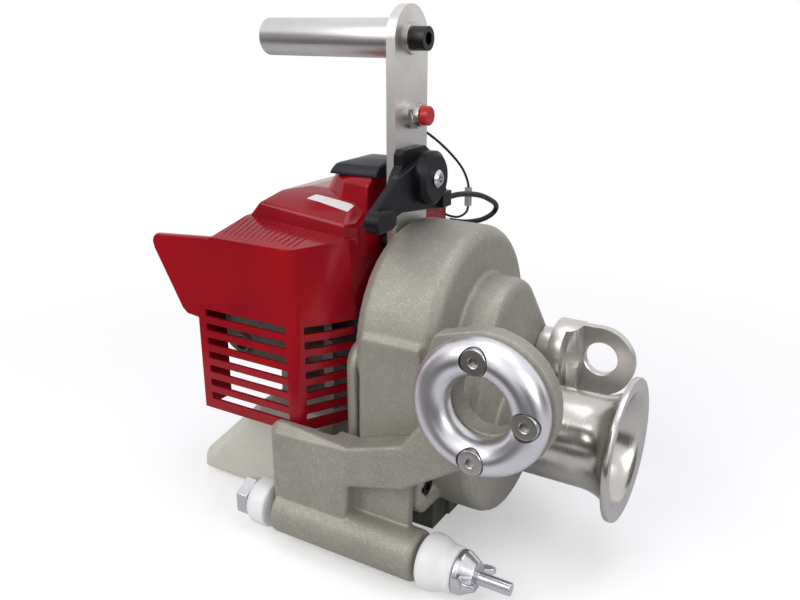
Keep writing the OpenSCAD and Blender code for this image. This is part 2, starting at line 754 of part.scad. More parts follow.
module fan_housing() color("dimgray") at_crank() difference() {
    xcyl(fan_x[0], fan_x[1], fan_r);
    xcyl(fan_x[0] + 3, fan_x[1] + 1, fan_r - 5);
    xcyl(fan_x[0] - 1, fan_x[1], 12);
}
module crankcase() color("gray") difference() {
    union() {
        at_crank() xcyl(case_x[0], case_x[1], case_r);
        translate([-cylinder_x - 36, -30, crank_h]) cube([72, 60, deck_z - crank_h]);
        for (x = [-cylinder_x - 34, -cylinder_x + 14])
            translate([x, -34, tank_top]) cube([10, 68, crank_h - tank_top - 20]);
    }
    at_crank() {
        xcyl(-cylinder_x - web_gap / 2 - web_t2 - 1, -cylinder_x + web_gap / 2 + web_t2 + 1, web_r + 1.5);
        xcyl(-cylinder_x - 27, -cylinder_x + 27, bearing_15[1]);
        xcyl(case_x[0] - 1, case_x[1] + 1, shaft_r + 1.5);
    }
    translate([-cylinder_x, 0, crank_h]) cylinder(r = piston_r + 1, h = 60);
}
module cylinder_block() {
    translate([-cylinder_x, 0, deck_z]) {
        cylinder(r = piston_r + 6, h = head_z - deck_z);
        translate([-34, -32, 0]) cube([68, 64, 6]);
        for (i = [0:fin_n - 1]) translate([-36, -40, 7 + i * fin_pitch]) cube([72, 80, 2.2]);
        translate([-14, -48, 12]) cube([28, 20, 20]);
        translate([-14, 28, 12]) cube([28, 20, 20]);
    }
}
module cylinder_casting() color("darkgray") difference() {
    cylinder_block();
    translate([-cylinder_x, 0, deck_z - 1]) cylinder(r = piston_r, h = head_z - deck_z - 12);
    translate([-cylinder_x, 0, head_z - 14]) cylinder(r = 5, h = 15);
    translate([-cylinder_x, 0, deck_z + 22]) ycyl(-50, -piston_r + 2, 7);
    translate([-cylinder_x, 0, deck_z + 22]) ycyl(piston_r - 2, 50, 7);
}
pin_z = crank_h + crank_throw + rod_len;
module piston() color("silver") {
    translate([-cylinder_x, 0, pin_z - 8]) difference() {
        cylinder(r = piston_r - fit, h = 18);
        translate([0, 0, -1]) cylinder(r = piston_r - 3, h = 16.2);
    }
    translate([-cylinder_x, 0, pin_z]) xcyl(-piston_r + 2.5, piston_r - 2.5, 4.5);
}
module connecting_rod() color("slategray") {
    translate([-cylinder_x, 0, crank_h + crank_throw]) difference() {
        union() {
            xcyl(-4.2, 4.2, crank_pin_r + 4);
            translate([-3, -4, 8]) cube([6, 8, rod_len - 13]);
            translate([0, 0, rod_len]) xcyl(-4.2, 4.2, 7);
        }
        translate([0, 0, rod_len]) xcyl(-6, 6, 4.5 + fit);
        xcyl(-6, 6, crank_pin_r + fit);
    }
}
module spark_plug() color("white") translate([-cylinder_x, 0, head_z - 12]) {
    cylinder(r = 4.9, h = 13);
    translate([0, 0, 12]) cylinder(r = 9.2, h = 4, $fn = 6);
    translate([0, 0, 15]) cylinder(r = 4, h = 8);
}
module muffler() color("dimgray") difference() {
    union() {
        hull() for (x = [-112, -66], z = [crank_h - 14, crank_h + 54]) translate([x, 0, z])
            ycyl(-88, -48.2, 10, $fn = soft_fn);
        translate([-108, 0, crank_h - 12]) ycyl(-93, -87, 8);
    }
    translate([-108, 0, crank_h - 12]) ycyl(-94, -70, 6);
}
module carburettor() color("gray") {
    translate([-cylinder_x - 18, 48.2, deck_z + 5]) cube([36, 32, 34]);
    translate([-cylinder_x, 0, deck_z + 22]) ycyl(80, 86, 14);
}
module air_filter_cover() color("black") difference() {
    hull() for (x = [-128, -80], z = [deck_z - 14, deck_z + 30]) translate([x, 0, z]) {
        ycyl(cover_y + 0.3, cover_y + 18, 10, $fn = soft_fn);
        ycyl(cover_y + 0.3, cover_y + 22, 6, $fn = soft_fn);
    }
    translate([-126, cover_y - 1, deck_z - 12]) cube([44, 18, 40]);
}

// Engine cover: panels in plan, from the rear corner round the front
module cover_outline(inset) offset(delta = -inset) polygon([
    [cover_back, -cover_y], [cover_corner, -cover_y], [cover_front, -cover_y + 56],
    [cover_front, cover_y], [cover_back, cover_y]
]);
// A thin slab with cut front corners, that falls from its rear edge at x0 to its front edge at x1
module hood_slab(z, x0, x1, y0, y1, inset, fall = 0)
    multmatrix([[1, 0, 0, 0], [0, 1, 0, 0], [-fall / (x1 - x0), 0, 1, fall * x0 / (x1 - x0) + z - inset]])
        linear_extrude(1) offset(delta = -inset)
            polygon([[x0, y0], [x1 - 11, y0], [x1, y0 + 13], [x1, y1 - 13], [x1 - 11, y1], [x0, y1]]);
module cover_body(inset) {
    intersection() {
        translate([0, 0, cover_low - (inset > 0 ? 1 : 0)]) linear_extrude(200) cover_outline(inset);
        along_y(-200, 200) polygon([
            [-300, 0], [0, 0], [0, shoulder_z - inset], [-129 + inset, shoulder_z - inset],
            [cover_back, shoulder_z - 16 - inset], [-300, shoulder_z - 16 - inset]
        ]);
    }
    hull() {
        translate([0, 0, shoulder_z - inset - 3]) linear_extrude(2) intersection() {
            cover_outline(inset + fold_ledge);
            translate([-128 + inset, -200]) square([200, 400]);
        }
        hood_slab(panel_z, -121, cover_front, -hood_y - 1, hood_y + 9, inset, 8);
    }
    hull() {
        hood_slab(panel_z - 1, -120, cover_front, -hood_y, hood_y, inset, 9);
        hood_slab(hood_z, -108.5, cover_front - 0.5, -hood_y + 1, hood_y - 1, inset, 11);
        hood_slab(hood_z + 5, -105, cover_front - 2, -hood_y + 24, hood_y - 24, inset);
        hood_slab(hood_top, -85, cover_front - 4, -19, 25, inset);
    }
    hull() {
        hood_slab(hood_z + 5, -76, cover_front + 0.5, -44, 44, inset);
        hood_slab(boss_top - 3, -59.5, cover_front + 1, -32, 32, inset);
        hood_slab(boss_top - 1, -56, cover_front + 1, -29, 29, inset);
    }
}
module engine_cover() color("firebrick") difference() {
    union() {
        cover_body(0);
        along_y(-cover_y, -cover_y + cover_wall) polygon([
            [cover_back + 3, crank_h + 3], [cover_back - 14, crank_h + 5], [cover_back - 47, 236],
            [cover_back - 42, 249], [-129, shoulder_z], [cover_back + 26, shoulder_z - 4]
        ]);
    }
    cover_body(cover_wall);
    // Slots in the side and in the slanted front corner
    for (i = [0:slots - 1]) {
        translate([cover_back + 8, -cover_y - 5, cover_low + 9 + i * 12.6]) cube([84, 12, 6.5]);
        translate([cover_corner, -cover_y, cover_low + 9 + i * 12.6]) rotate([0, 0, 60.3])
            translate([9, -6, 0]) cube([46, 12, 6.5]);
    }
    // Openings for the plug, the starter, the carburettor, the cables and the crankshaft end
    translate([-50, -20, boss_top - 12]) cube([26, 40, 20]);
    at_crank() xcyl(cover_back - 5, cover_back + 12, starter_r + 4);
    translate([cover_back - 5, -starter_r - 4, cover_low - 5]) cube([10, 2 * starter_r + 8, crank_h - cover_low]);
    translate([-cylinder_x - 36, cover_y - 5, deck_z - 12]) cube([62, 10, 40]);
    translate([cable_tail[0][0], 0, cable_tail[0][2]]) ycyl(cover_y - 5, cover_y + 5, gland_r + 0.35);
    at_crank() xcyl(cover_front - 18, cover_front + 5, fan_r + 1);
    translate([cover_front - 5, -fan_r - 1, cover_low - 5]) cube([10, 2 * fan_r + 2, crank_h - cover_low]);
}
module top_cap() color("black") hull() {
    translate([-57.5, -31, boss_top + 0.2]) cube([44, 62, 2]);
    translate([-54, -24, boss_top + 5]) cube([40, 48, 2]);
    translate([-45, -10, cap_top - 2]) cube([30, 20, 2]);
}
module starter_cover() color("black") at_crank() difference() {
    union() {
        xcyl(starter_x[0] + 12, starter_x[1], starter_r);
        xcone(starter_x[0], starter_x[0] + 12 + eps, starter_r - 12, starter_r);
        translate([handle_x - 9, starter_r - 14, pulley_r - 11]) cube([18, 18, 18]);
    }
    xcyl(starter_x[0] + 3, starter_x[1] - 3, starter_r - 12);
    xcyl(starter_x[0] + 12, starter_x[1] + 1, shaft_r + 2);
    translate([handle_x, 0, pulley_r - 2]) ycyl(20, starter_r + 10, 2.6);
}
module starter_pulley() color("white") at_crank() difference() {
    union() {
        xcyl(handle_x - 5, handle_x + 5, pulley_r - 4);
        xcyl(handle_x - 6.5, handle_x - 4.5, pulley_r + 2);
        xcyl(handle_x + 4.5, handle_x + 6.5, pulley_r + 2);
    }
    xcyl(handle_x - 10, handle_x + 10, shaft_r + fit);
}
module starter_handle() color("black") translate([handle_x, starter_r + 4.4, crank_h + pulley_r - 2]) {
    hull() for (z = [-16, 16]) translate([0, 0, z]) ycyl(0, 14, 7, $fn = soft_fn);
    ycyl(-10, eps, 2.3);
}

// Fuel tank: side outline in X and Z
module tank_outline(inset) offset(r = 12 - inset) offset(delta = -12) polygon([
    [tank_back, 0], [tank_back + tank_len, 0], [tank_back + tank_len, tank_top],
    [-126, tank_top], [-200, 21]
]);
module fuel_tank() color("gainsboro") difference() {
    union() {
        hull() {
            along_y(-tank_y + 12, tank_y - 12) tank_outline(0);
            along_y(-tank_y, tank_y) tank_outline(10);
        }
        translate([cap_x, 0, cap_z]) ycyl(tank_y - 1, tank_y + 8, 13);
    }
    hull() {
        along_y(-tank_y + 14, tank_y - 14) tank_outline(3);
        along_y(-tank_y + 3, tank_y - 3) tank_outline(13);
    }
    translate([cap_x, 0, cap_z]) ycyl(tank_y - 6, tank_y + 9, 10);
}
module fuel_cap() color("black") translate([cap_x, 0, cap_z]) difference() {
    union() {
        ycyl(tank_y + 8.3, tank_y + 20, 18);
        ycyl(tank_y + 1, tank_y + 9, 9.6);
    }
    for (a = [0:30:330]) rotate([0, a, 0]) translate([18.6, 0, 0]) ycyl(tank_y + 7, tank_y + 21, 1.6);
}

// Side bracket: plate, arm, round lug and tube in one casting
module bracket_corner(x, z, r, chamfer, front = bracket_front) {
    translate([x, 0, z]) {
        ycyl(front + chamfer, bracket_y, r, $fn = soft_fn);
        ycyl(front, bracket_y, max(r - chamfer, 0.5), $fn = soft_fn);
    }
}
module lug_ear(front, back, r) {
    a = acos((r - ear_end_r) / ear_reach);
    tip = ear_reach * [cos(ear_angle), sin(ear_angle)];
    along_y(front, back) polygon([
        [0, 0],
        r * [cos(ear_angle - a), sin(ear_angle - a)],
        tip + ear_end_r * [cos(ear_angle - a), sin(ear_angle - a)],
        tip + ear_end_r * [cos(ear_angle + a), sin(ear_angle + a)],
        r * [cos(ear_angle + a), sin(ear_angle + a)]
    ]);
    translate([tip[0], 0, tip[1]]) ycyl(front, back, ear_end_r);
}
module side_bracket() color("darkkhaki") difference() {
    union() {
        hull() {
            bracket_corner(bracket_left + 12, bracket_top - 12, 12, 8);
            bracket_corner(bracket_left + 18, pin_h - 2, 18, 8);
            bracket_corner(4, bracket_top - 8, 6, 2);
            bracket_corner(-2, pin_h, 6, 2);
        }
        hull() {
            bracket_corner(8, bracket_top - 8, 6, 2);
            bracket_corner(8, bracket_top - 30, 6, 2);
            bracket_corner(58, bracket_top + 8, 6, 2);
            bracket_corner(54, bracket_top - 18, 6, 2);
        }
        hull() {
            bracket_corner(58, bracket_top + 8, 6, 2);
            bracket_corner(54, bracket_top - 18, 6, 2);
            bracket_corner(ring_x - 38, ring_z - 29, 10, 3, lug_front);
            bracket_corner(ring_x - 8, ring_z - lug_r + 13, 12, 3, lug_front);
        }
        along_y(bracket_y - web_t, bracket_y) polygon([
            [0, bracket_top - 20], [0, pin_h], [54, pin_h], [56, bracket_top - 10]
        ]);
        translate([ring_x, 0, ring_z]) {
            ycyl(lug_front, lug_back - 3, lug_r);
            ycyl(lug_front, lug_back, lug_r - 3);
            lug_ear(lug_front, lug_back - 3, lug_r);
        }
        at_pin() {
            xcyl(bracket_left + 8, tube_end - 4, tube_r);
            xcone(tube_end - 4 - eps, tube_end - 1.2, tube_r, tube_r - 1.2);
            xcone(tube_end - 1.2 - eps, tube_end, tube_r - 1.2, tube_r - 4);
        }
    }
    translate([ring_x, 0, ring_z]) {
        ycyl(lug_front - 20, lug_back + 10, ring_hole_r);
        ycyl(lug_front - 20, lug_front, ring_r + ring_tube_r + 0.8);
        for (a = ring_angles) rotate([0, -a, 0]) translate([ring_r, 0, 0]) ycyl(lug_front - 9, lug_back + 1, 4);
    }
    at_pin() xcyl(bracket_left - 5, tube_end + 5, pin_r + 0.1);
    for (x = bracket_screw_x) translate([x, 0, bracket_screw_z]) ycyl(bracket_y - 15, bracket_y + 1, m8[0]);
    // Room for the lower edge of the engine cover
    translate([bracket_left - 5, -cover_y - 1, cover_low - 2]) cube([-bracket_left - 7, 20, 40]);
}

// Guide ring with a flat back, bolted to the lug
module guide_ring() color("silver") translate([ring_x, 0, ring_z]) difference() {
    translate([0, ring_y, 0]) rotate([90, 0, 0]) rotate_extrude() translate([ring_r, 0]) circle(r = ring_tube_r);
    translate([-100, lug_front, -100]) cube([200, 40, 200]);
    for (a = ring_angles) rotate([0, -a, 0]) translate([ring_r, 0, 0]) {
        ycyl(ring_y - ring_tube_r - 1, lug_front + 1, 4.2);
        ycyl(ring_y - ring_tube_r - 1, ring_y - ring_tube_r + 5.5, 10.2);
    }
}
module ring_screws() color("gray") translate([ring_x, 0, ring_z])
    for (a = ring_angles) rotate([0, -a, 0]) translate([ring_r, ring_y - ring_tube_r + 0.6, 0]) rotate([0, 0, 90])
        difference() {
            union() {
                xcyl(0, 4.9, 10);
                xcyl(4.9 - eps, 2 * ring_tube_r + 4, 3.9);
            }
            xhex(-1, 2.5, 5);
        }

// Bracket pin with its hexagon head, rollers and wing nut
pin_left = bracket_left - 1 - left_roller_len;
wing_x = right_roller_x + right_roller_len + 0.6;
wing_turn = -15;
module bracket_pin() color("lightsteelblue") at_pin() {
    xhex(pin_left - 11.6, pin_left - 0.6, 30);
    xcyl(pin_left - 0.6 - eps, wing_x - 1, pin_r);
    xcyl(wing_x - 1 - eps, wing_x + 42, 5);
}
module left_roller() color("white") at_pin() difference() {
    translate([pin_left, 0, 0]) rotate([0, 90, 0]) rotate_extrude() polygon([
        [0, 0], [roller_r - 6.5, 0], [roller_r - 4, 2], [roller_r - 2.2, 5], [roller_r - 1.4, 9],
        [roller_r - 1.4, 17], [roller_r - 2.4, left_roller_len], [0, left_roller_len]
    ]);
    xcyl(pin_left - 1, pin_left + left_roller_len + 1, pin_r + fit);
}
module right_roller() color("white") at_pin() difference() {
    translate([right_roller_x, 0, 0]) rotate([0, 90, 0]) rotate_extrude() polygon([
        [0, 0], [roller_r - 3, 0], [roller_r - 1, 2], [roller_r, 5], [roller_r, 9],
        [roller_r - 0.7, 13], [roller_r - 2.4, 17], [roller_r - 3.9, 20], [roller_r - 4.1, 21.5],
        [roller_r - 3.8, 24], [roller_r - 3.8, 26.5], [roller_r - 4.5, right_roller_len],
        [0, right_roller_len]
    ]);
    xcyl(right_roller_x - 1, right_roller_x + right_roller_len + 1, pin_r + fit);
}
module wing_nut() color("silver") at_pin() difference() {
    union() {
        translate([wing_x, 0, 0]) rotate([0, 90, 0]) rotate_extrude()
            polygon([[0, 0], [17, 0], [17, 5], [11, 15], [0, 15]]);
        for (s = [0, 180]) rotate([wing_turn + s, 0, 0]) hull() {
            translate([wing_x + 4.3, 8.2, 0]) xcyl(-3, 8, 2.9, $fn = 14);
            translate([wing_x + 15.2, 21, 0]) xcyl(-6, 6, 2.5, $fn = 14);
        }
    }
    xcyl(wing_x - 1, wing_x + 16, 5 + fit);
}

// Swivel eye, turned from one bar: disc, neck, stud and flat tongue
module swivel_eye() color("silver") at_eye() difference() {
    union() {
        xcyl(wall_in_x - 13, stage2_x + 1, eye_stud_r);
        xcyl(stage2_x + 0.3, eye_disc_x + eps, eye_neck_r);
        xcyl(eye_disc_x, eye_disc_x + eye_disc_t, eye_r);
        intersection() {
            xcyl(eye_disc_x, eye_end_x + eye_r, eye_r);
            union() {
                translate([eye_disc_x + 1, -eye_t / 2, -eye_r]) cube([eye_end_x - eye_disc_x - 1, eye_t, 2 * eye_r]);
                translate([eye_end_x, 0, 0]) ycyl(-eye_t / 2, eye_t / 2, eye_r);
                for (s = [-1, 1]) difference() {
                    translate([eye_disc_x + 1, s > 0 ? eye_t / 2 - 1 : -eye_t / 2 - eye_fillet, -eye_r])
                        cube([eye_disc_t - 1 + eye_fillet, eye_fillet + 1, 2 * eye_r]);
                    translate([eye_disc_x + eye_disc_t + eye_fillet, s * (eye_t / 2 + eye_fillet), -eye_r - 1])
                        cylinder(r = eye_fillet, h = 2 * eye_r + 2);
                }
            }
        }
    }
    translate([eye_hole_x, 0, eye_hole_up]) ycyl(-eye_t, eye_t, eye_hole_r);
}
module swivel_nut() color("silver") at_eye() difference() {
    xhex(wall_in_x - 12, wall_in_x - 0.3, 23.4);
    xcyl(wall_in_x - 14, wall_in_x + 1, eye_stud_r + seat);
}

gear_housing();
rear_plate();
m8_screws();
base_foot();
handle_bar();
handle_grip();
grip_screw();
grip_washer();
switch_body();
stop_button();
throttle_base();
throttle_lever();
friction_knob();
knob_screw();
throttle_cable();
stop_wire();
wire_connector();
drum();
drum_shaft();
drum_screw();
drum_seal();
output_gear();
ball_bearings();
final_pinion();
mid_gear();
mid_shaft();
lay_gear();
lay_shaft();
carrier_plate();
clutch_plate();
clutch_drum();
input_pinion();
clutch_shoes();
crankshaft();
flywheel();
crankcase();
fan_housing();
cylinder_casting();  // cylinder
piston();
connecting_rod();
muffler();
carburettor();
air_filter_cover();
engine_cover();
top_cap();
spark_plug();
starter_cover();
starter_handle();
starter_pulley();
fuel_tank();
fuel_cap();
side_bracket();
guide_ring();
ring_screws();
bracket_pin();
left_roller();
right_roller();
wing_nut();
swivel_eye();
swivel_nut();
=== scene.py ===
"""Dresses the capstan winch: finishes, soft castings, turned parts, engine cover and cords."""

from __future__ import annotations

import json
import logging
import math
from dataclasses import dataclass
from enum import Enum
from typing import Callable, Iterable, Sequence, Union

import bmesh
import bpy
from mathutils import Matrix, Vector

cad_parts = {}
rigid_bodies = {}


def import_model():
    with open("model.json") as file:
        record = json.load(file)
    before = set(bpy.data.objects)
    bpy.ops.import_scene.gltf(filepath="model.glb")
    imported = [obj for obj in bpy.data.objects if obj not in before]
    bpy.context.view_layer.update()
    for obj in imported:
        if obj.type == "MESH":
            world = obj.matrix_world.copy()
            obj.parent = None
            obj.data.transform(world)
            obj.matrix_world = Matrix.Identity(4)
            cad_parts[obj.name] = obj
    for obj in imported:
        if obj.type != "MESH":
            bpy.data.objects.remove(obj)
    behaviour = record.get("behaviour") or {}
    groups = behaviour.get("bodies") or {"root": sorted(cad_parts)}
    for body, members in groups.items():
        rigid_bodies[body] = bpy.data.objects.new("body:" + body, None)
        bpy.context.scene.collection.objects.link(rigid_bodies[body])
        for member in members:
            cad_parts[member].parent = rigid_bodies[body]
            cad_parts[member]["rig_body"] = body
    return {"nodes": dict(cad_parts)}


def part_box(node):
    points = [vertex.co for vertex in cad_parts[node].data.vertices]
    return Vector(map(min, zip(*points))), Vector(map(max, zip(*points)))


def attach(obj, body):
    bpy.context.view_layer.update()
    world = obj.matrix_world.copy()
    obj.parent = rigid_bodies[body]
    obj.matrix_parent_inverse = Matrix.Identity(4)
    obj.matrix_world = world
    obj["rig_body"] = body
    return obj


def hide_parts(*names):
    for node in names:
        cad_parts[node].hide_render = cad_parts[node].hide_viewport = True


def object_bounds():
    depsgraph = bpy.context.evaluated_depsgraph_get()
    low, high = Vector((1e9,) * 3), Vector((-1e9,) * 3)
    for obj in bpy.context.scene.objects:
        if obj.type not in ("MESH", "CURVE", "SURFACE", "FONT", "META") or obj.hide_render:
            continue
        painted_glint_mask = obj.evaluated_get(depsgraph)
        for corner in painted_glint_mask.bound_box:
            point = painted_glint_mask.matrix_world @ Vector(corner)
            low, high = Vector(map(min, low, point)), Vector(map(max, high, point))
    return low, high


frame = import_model()
CAD_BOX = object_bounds()
log = logging.getLogger("winch")
MM = 0.001
Colour = tuple[float, float, float]
Point = tuple[float, float, float]
Pairs = Sequence[tuple[float, float]]
Solid = bmesh.types.BMesh
Item = bpy.types.Object
EdgeTest = Callable[[bmesh.types.BMEdge], bool]
ALONG_X: Point = (1, 0, 0)
ALONG_Y: Point = (0, 1, 0)
WHITE = (1.0, 1.0, 1.0, 1.0)
CRANK_Z = 177.5  # height of crankshaft and lay shaft
CABLE_ENTRY: Point = (-24.6, 0, 237.6)  # the throttle cable's way through the cover's far side
MERGE = 0.002  # distance at which a CAD mesh's corners are one
SEAM = 1e-4  # distance at which the corners of a turned solid are one
SKY = 400  # height from which rays look down on the cover
LEVEL = 80  # how much large faces count for a flat piece's shading
FLAT = 0.01  # angle in radians up to which a hull's faces are one


class Grain(Enum):
    """Direction in which a brushed or turned surface carries its fine lines."""

    ALONG_X = (0.02, 1.0, 1.0)
    ALONG_Z = (1.0, 1.0, 0.02)
    AROUND_X = (1.0, 0.015, 0.015)
    AROUND_Y = (0.015, 1.0, 0.015)


@dataclass(eq=False)
class Wire:
    """A value in a node tree: an output socket whose arithmetic adds Math nodes."""

    tree: "Tree"
    socket: bpy.types.NodeSocket

    def join(self, operation: str, first: "Value", second: "Value") -> "Wire":
        """Returns the result of a Math node of two values."""
        return self.tree.add("Math", {0: first, 1: second}, operation=operation)

    def __add__(self, other: "Value") -> "Wire":
        """Returns the sum."""
        return self.join("ADD", self, other)

    def __sub__(self, other: "Value") -> "Wire":
        """Returns the difference."""
        return self.join("SUBTRACT", self, other)

    def __rsub__(self, other: "Value") -> "Wire":
        """Returns the reflected difference, as in 1 - mask."""
        return self.join("SUBTRACT", other, self)

    def __mul__(self, other: "Value") -> "Wire":
        """Returns the product."""
        return self.join("MULTIPLY", self, other)


Value = Union[Wire, float, Sequence[float]]
Values = dict[Union[int, str], Value]


class Tree:
    """A node tree with its output node, to which nodes are added."""

    def __init__(self, owner: Union[bpy.types.Material, bpy.types.World], output: str) -> None:
        """Empties a tree and adds its output node.

        Args:
            owner: The material or world of the tree.
            output: The output node's type.
        """
        owner.use_nodes = True
        self.nodes, self.links = owner.node_tree.nodes, owner.node_tree.links
        self.nodes.clear()
        self.output = self.nodes.new(output)

    def put(self, socket: bpy.types.NodeSocket, value: Value) -> None:
        """Links an input to a wire, or sets its value.

        Args:
            socket: The input.
            value: The wire or value.
        """
        if isinstance(value, Wire):
            self.links.new(value.socket, socket)
        else:
            socket.default_value = value

    def add(self, kind: str, values: Values, output: Union[int, str] = 0, **settings: object) -> Wire:
        """Adds one node.

        Args:
            kind: The node's type, without ShaderNode.
            values: Its input values or links, by index or name.
            output: The output that is wanted.
            settings: Its settings, which are set before its values.

        Returns:
            That output.
        """
        node = self.nodes.new(f"ShaderNode{kind}")
        for key, setting in settings.items():
            setattr(node, key, setting)
        for key, value in values.items():
            self.put(node.inputs[key], value)
        return Wire(self, node.outputs[output])

    def show(self, shader: Wire) -> None:
        """Links the shader that the surface shows."""
        self.put(self.output.inputs["Surface"], shader)


class Graph(Tree):
    """The node tree of one material, with its shader and object coordinates ready."""

    def __init__(self, name: str) -> None:
        """Makes a material with a Principled shader.

        Args:
            name: The material's name.
        """
        self.material = bpy.data.materials.new(name)
        super().__init__(self.material, "ShaderNodeOutputMaterial")
        self.shader = self.nodes.new("ShaderNodeBsdfPrincipled")
        self.show(Wire(self, self.shader.outputs["BSDF"]))
        self.place = self.add("TexCoord", {}, "Object")

    def stretched(self, scale: Sequence[float], turn: Sequence[float] = (0, 0, 0)) -> Wire:
        """Returns the object coordinates, stretched by the given scale and turned."""
        values = {"Vector": self.place, "Scale": tuple(scale), "Rotation": tuple(turn)}
        return self.add("Mapping", values)

    def noise(self, scale: float, detail: float, rough: float = 0.55, place: Wire | None = None) -> Wire:
        """Returns a noise from 0 to 1 by its lumps per metre, octaves and the strength of the fine ones."""
        values = {"Vector": place or self.place, "Scale": scale, "Detail": detail, "Roughness": rough}
        return self.add("TexNoise", values, "Fac")

    def cells(self, scale: float) -> Wire:
        """Returns a random value for each small cell, as of grain specks or dust; on castings the specks get
        a painted glint.
        """
        cell = self.add("TexVoronoi", {"Vector": self.place, "Scale": scale}, "Color")
        return self.add("SeparateColor", {"Color": cell}, "Red")

    def ramp(self, value: Wire, low: float, high: float, to_low: float = 0.0, to_high: float = 1.0) -> Wire:
        """Returns the value mapped from low and high to the two results, and clamped."""
        values = {0: value, 1: low, 2: high, 3: to_low, 4: to_high}
        return self.add("MapRange", values, clamp=True)

    def spots(self, scale: float, detail: float, low: float, high: float, rough: float = 0.55) -> Wire:
        """Returns a noise whose range from low to high is spread from 0 to 1."""
        return self.ramp(self.noise(scale, detail, rough), low, high)

    def blend(self, share: Value, first: Value, second: Value) -> Wire:
        """Mixes two colours.

        Args:
            share: The second colour's share.
            first: The first colour.
            second: The second colour.

        Returns:
            The mixed colour.
        """
        values: Values = {0: share}
        for index, colour in ((6, first), (7, second)):
            values[index] = colour if isinstance(colour, Wire) else (*colour, 1.0)
        return self.add("Mix", values, 2, data_type="RGBA")

    def bump(self, height: Wire, depth: float, strength: float = 1.0, under: Wire | None = None) -> Wire:
        """Adds a bump.

        Args:
            height: The height, from 0 to 1.
            depth: What 1 is, in metres.
            strength: How much of it shows.
            under: A bump that this one lies on.

        Returns:
            The new normal.
        """
        values: Values = {"Height": height, "Distance": depth, "Strength": strength}
        if under is not None:
            values["Normal"] = under
        return self.add("Bump", values, "Normal")

    def set(self, **values: Value) -> None:
        """Sets or links the shader's inputs.

        Args:
            values: Values or wires by the input's name, with _ for a blank.
        """
        for key, value in values.items():
            socket = self.shader.inputs[key.replace("_", " ")]
            is_colour = isinstance(value, tuple) and len(value) == 3 and socket.type == "RGBA"
            self.put(socket, (*value, 1.0) if is_colour else value)


@dataclass(frozen=True)
class Finish:
    """One finish. Its material is made once and shared."""

    name: str

    def material(self) -> bpy.types.Material:
        """Finds the finish's material, or makes it.

        Returns:
            The material.
        """
        found = bpy.data.materials.get(f"{self.name} finish")
        if found is None:
            graph = Graph(f"{self.name} finish")
            self.paint(graph)
            found = graph.material
        return found

    def paint(self, graph: Graph) -> None:
        """Adds the finish's nodes. Each kind of finish has its own."""
        raise NotImplementedError


@dataclass(frozen=True)
class CastMetal(Finish):
    """Blasted sand casting: mottled grey with a coarse grain and specks that carry a painted glint."""

    colour: Colour = (0.38, 0.37, 0.32)
    dark: Colour = (0.21, 0.203, 0.172)
    # share of painted glint: how far the specks' colour is raised towards a brighter copy
    painted_glint: float = 0.28
    metallic: float = 0.4
    depth: float = 0.00028

    def paint(self, graph: Graph) -> None:
        """Adds mottling, specks with a painted glint, stains and two sizes of grain.

        Args:
            graph: The material's nodes.
        """
        patches = graph.spots(22.0, 4.0, 0.35, 0.7)
        grain = graph.noise(800.0, 4.0, 0.6)
        speck = graph.ramp(graph.cells(1500.0), 0.8, 1.0)
        # painted glint: where the specks show, a brighter copy of the colour is painted into the base colour
        painted_glint_mask = speck * graph.spots(210.0, 2.0, 0.42, 0.62)
        shade = graph.blend(patches * 0.3 + graph.ramp(grain, 0.35, 0.7) * 0.4, self.colour, self.dark)
        painted_glint_colour = tuple(min(1.0, c * 2.3) for c in self.colour)
        graph.set(
            Base_Color=graph.blend(painted_glint_mask * self.painted_glint, shade, painted_glint_colour),
            Metallic=self.metallic,
            Roughness=graph.ramp(grain, 0.3, 0.75, 0.44, 0.64) - painted_glint_mask * 0.15,
            Specular_IOR_Level=0.4,
        )
        coarse = graph.bump(graph.noise(190.0, 2.0), self.depth * 1.4, 0.5)
        graph.set(Normal=graph.bump(grain * 0.7 + speck * 0.3, self.depth, 0.8, coarse))


@dataclass(frozen=True)
class WorkedMetal(Finish):
    """Turned, milled or brushed metal: fine lines in one direction, faint smears and scratches."""

    colour: Colour = (0.62, 0.6, 0.57)
    roughness: float = 0.2
    grain: Grain = Grain.AROUND_X
    lines: float = 1900.0
    depth: float = 0.00004
    tint: Colour = (0.5, 0.48, 0.45)

    def paint(self, graph: Graph) -> None:
        """Adds the lines, smears and a few scratches across them.

        Args:
            graph: The material's nodes.
        """
        place = graph.stretched(self.grain.value)
        fine = graph.noise(self.lines, 2.0, 0.6, place)
        broad = graph.noise(self.lines / 7, 2.0, 0.5, place)
        smear = graph.spots(38.0, 4.0, 0.4, 0.72)
        scratch_place = graph.stretched((1.0, 0.08, 0.4), (0.5, 0.9, 0.3))
        scratch = graph.ramp(graph.noise(700.0, 1.0, 0.5, scratch_place), 0.7, 0.76)
        rough = graph.ramp(fine, 0.3, 0.7, self.roughness - 0.03, self.roughness + 0.045)
        graph.set(
            Base_Color=graph.blend(smear * 0.45 + broad * 0.25, self.colour, self.tint),
            Metallic=1.0,
            Roughness=rough + smear * 0.06 + scratch * 0.12,
        )
        under = graph.bump(broad, self.depth * 1.5, 0.35)
        graph.set(Normal=graph.bump(fine + scratch * 0.5, self.depth, 0.6, under))


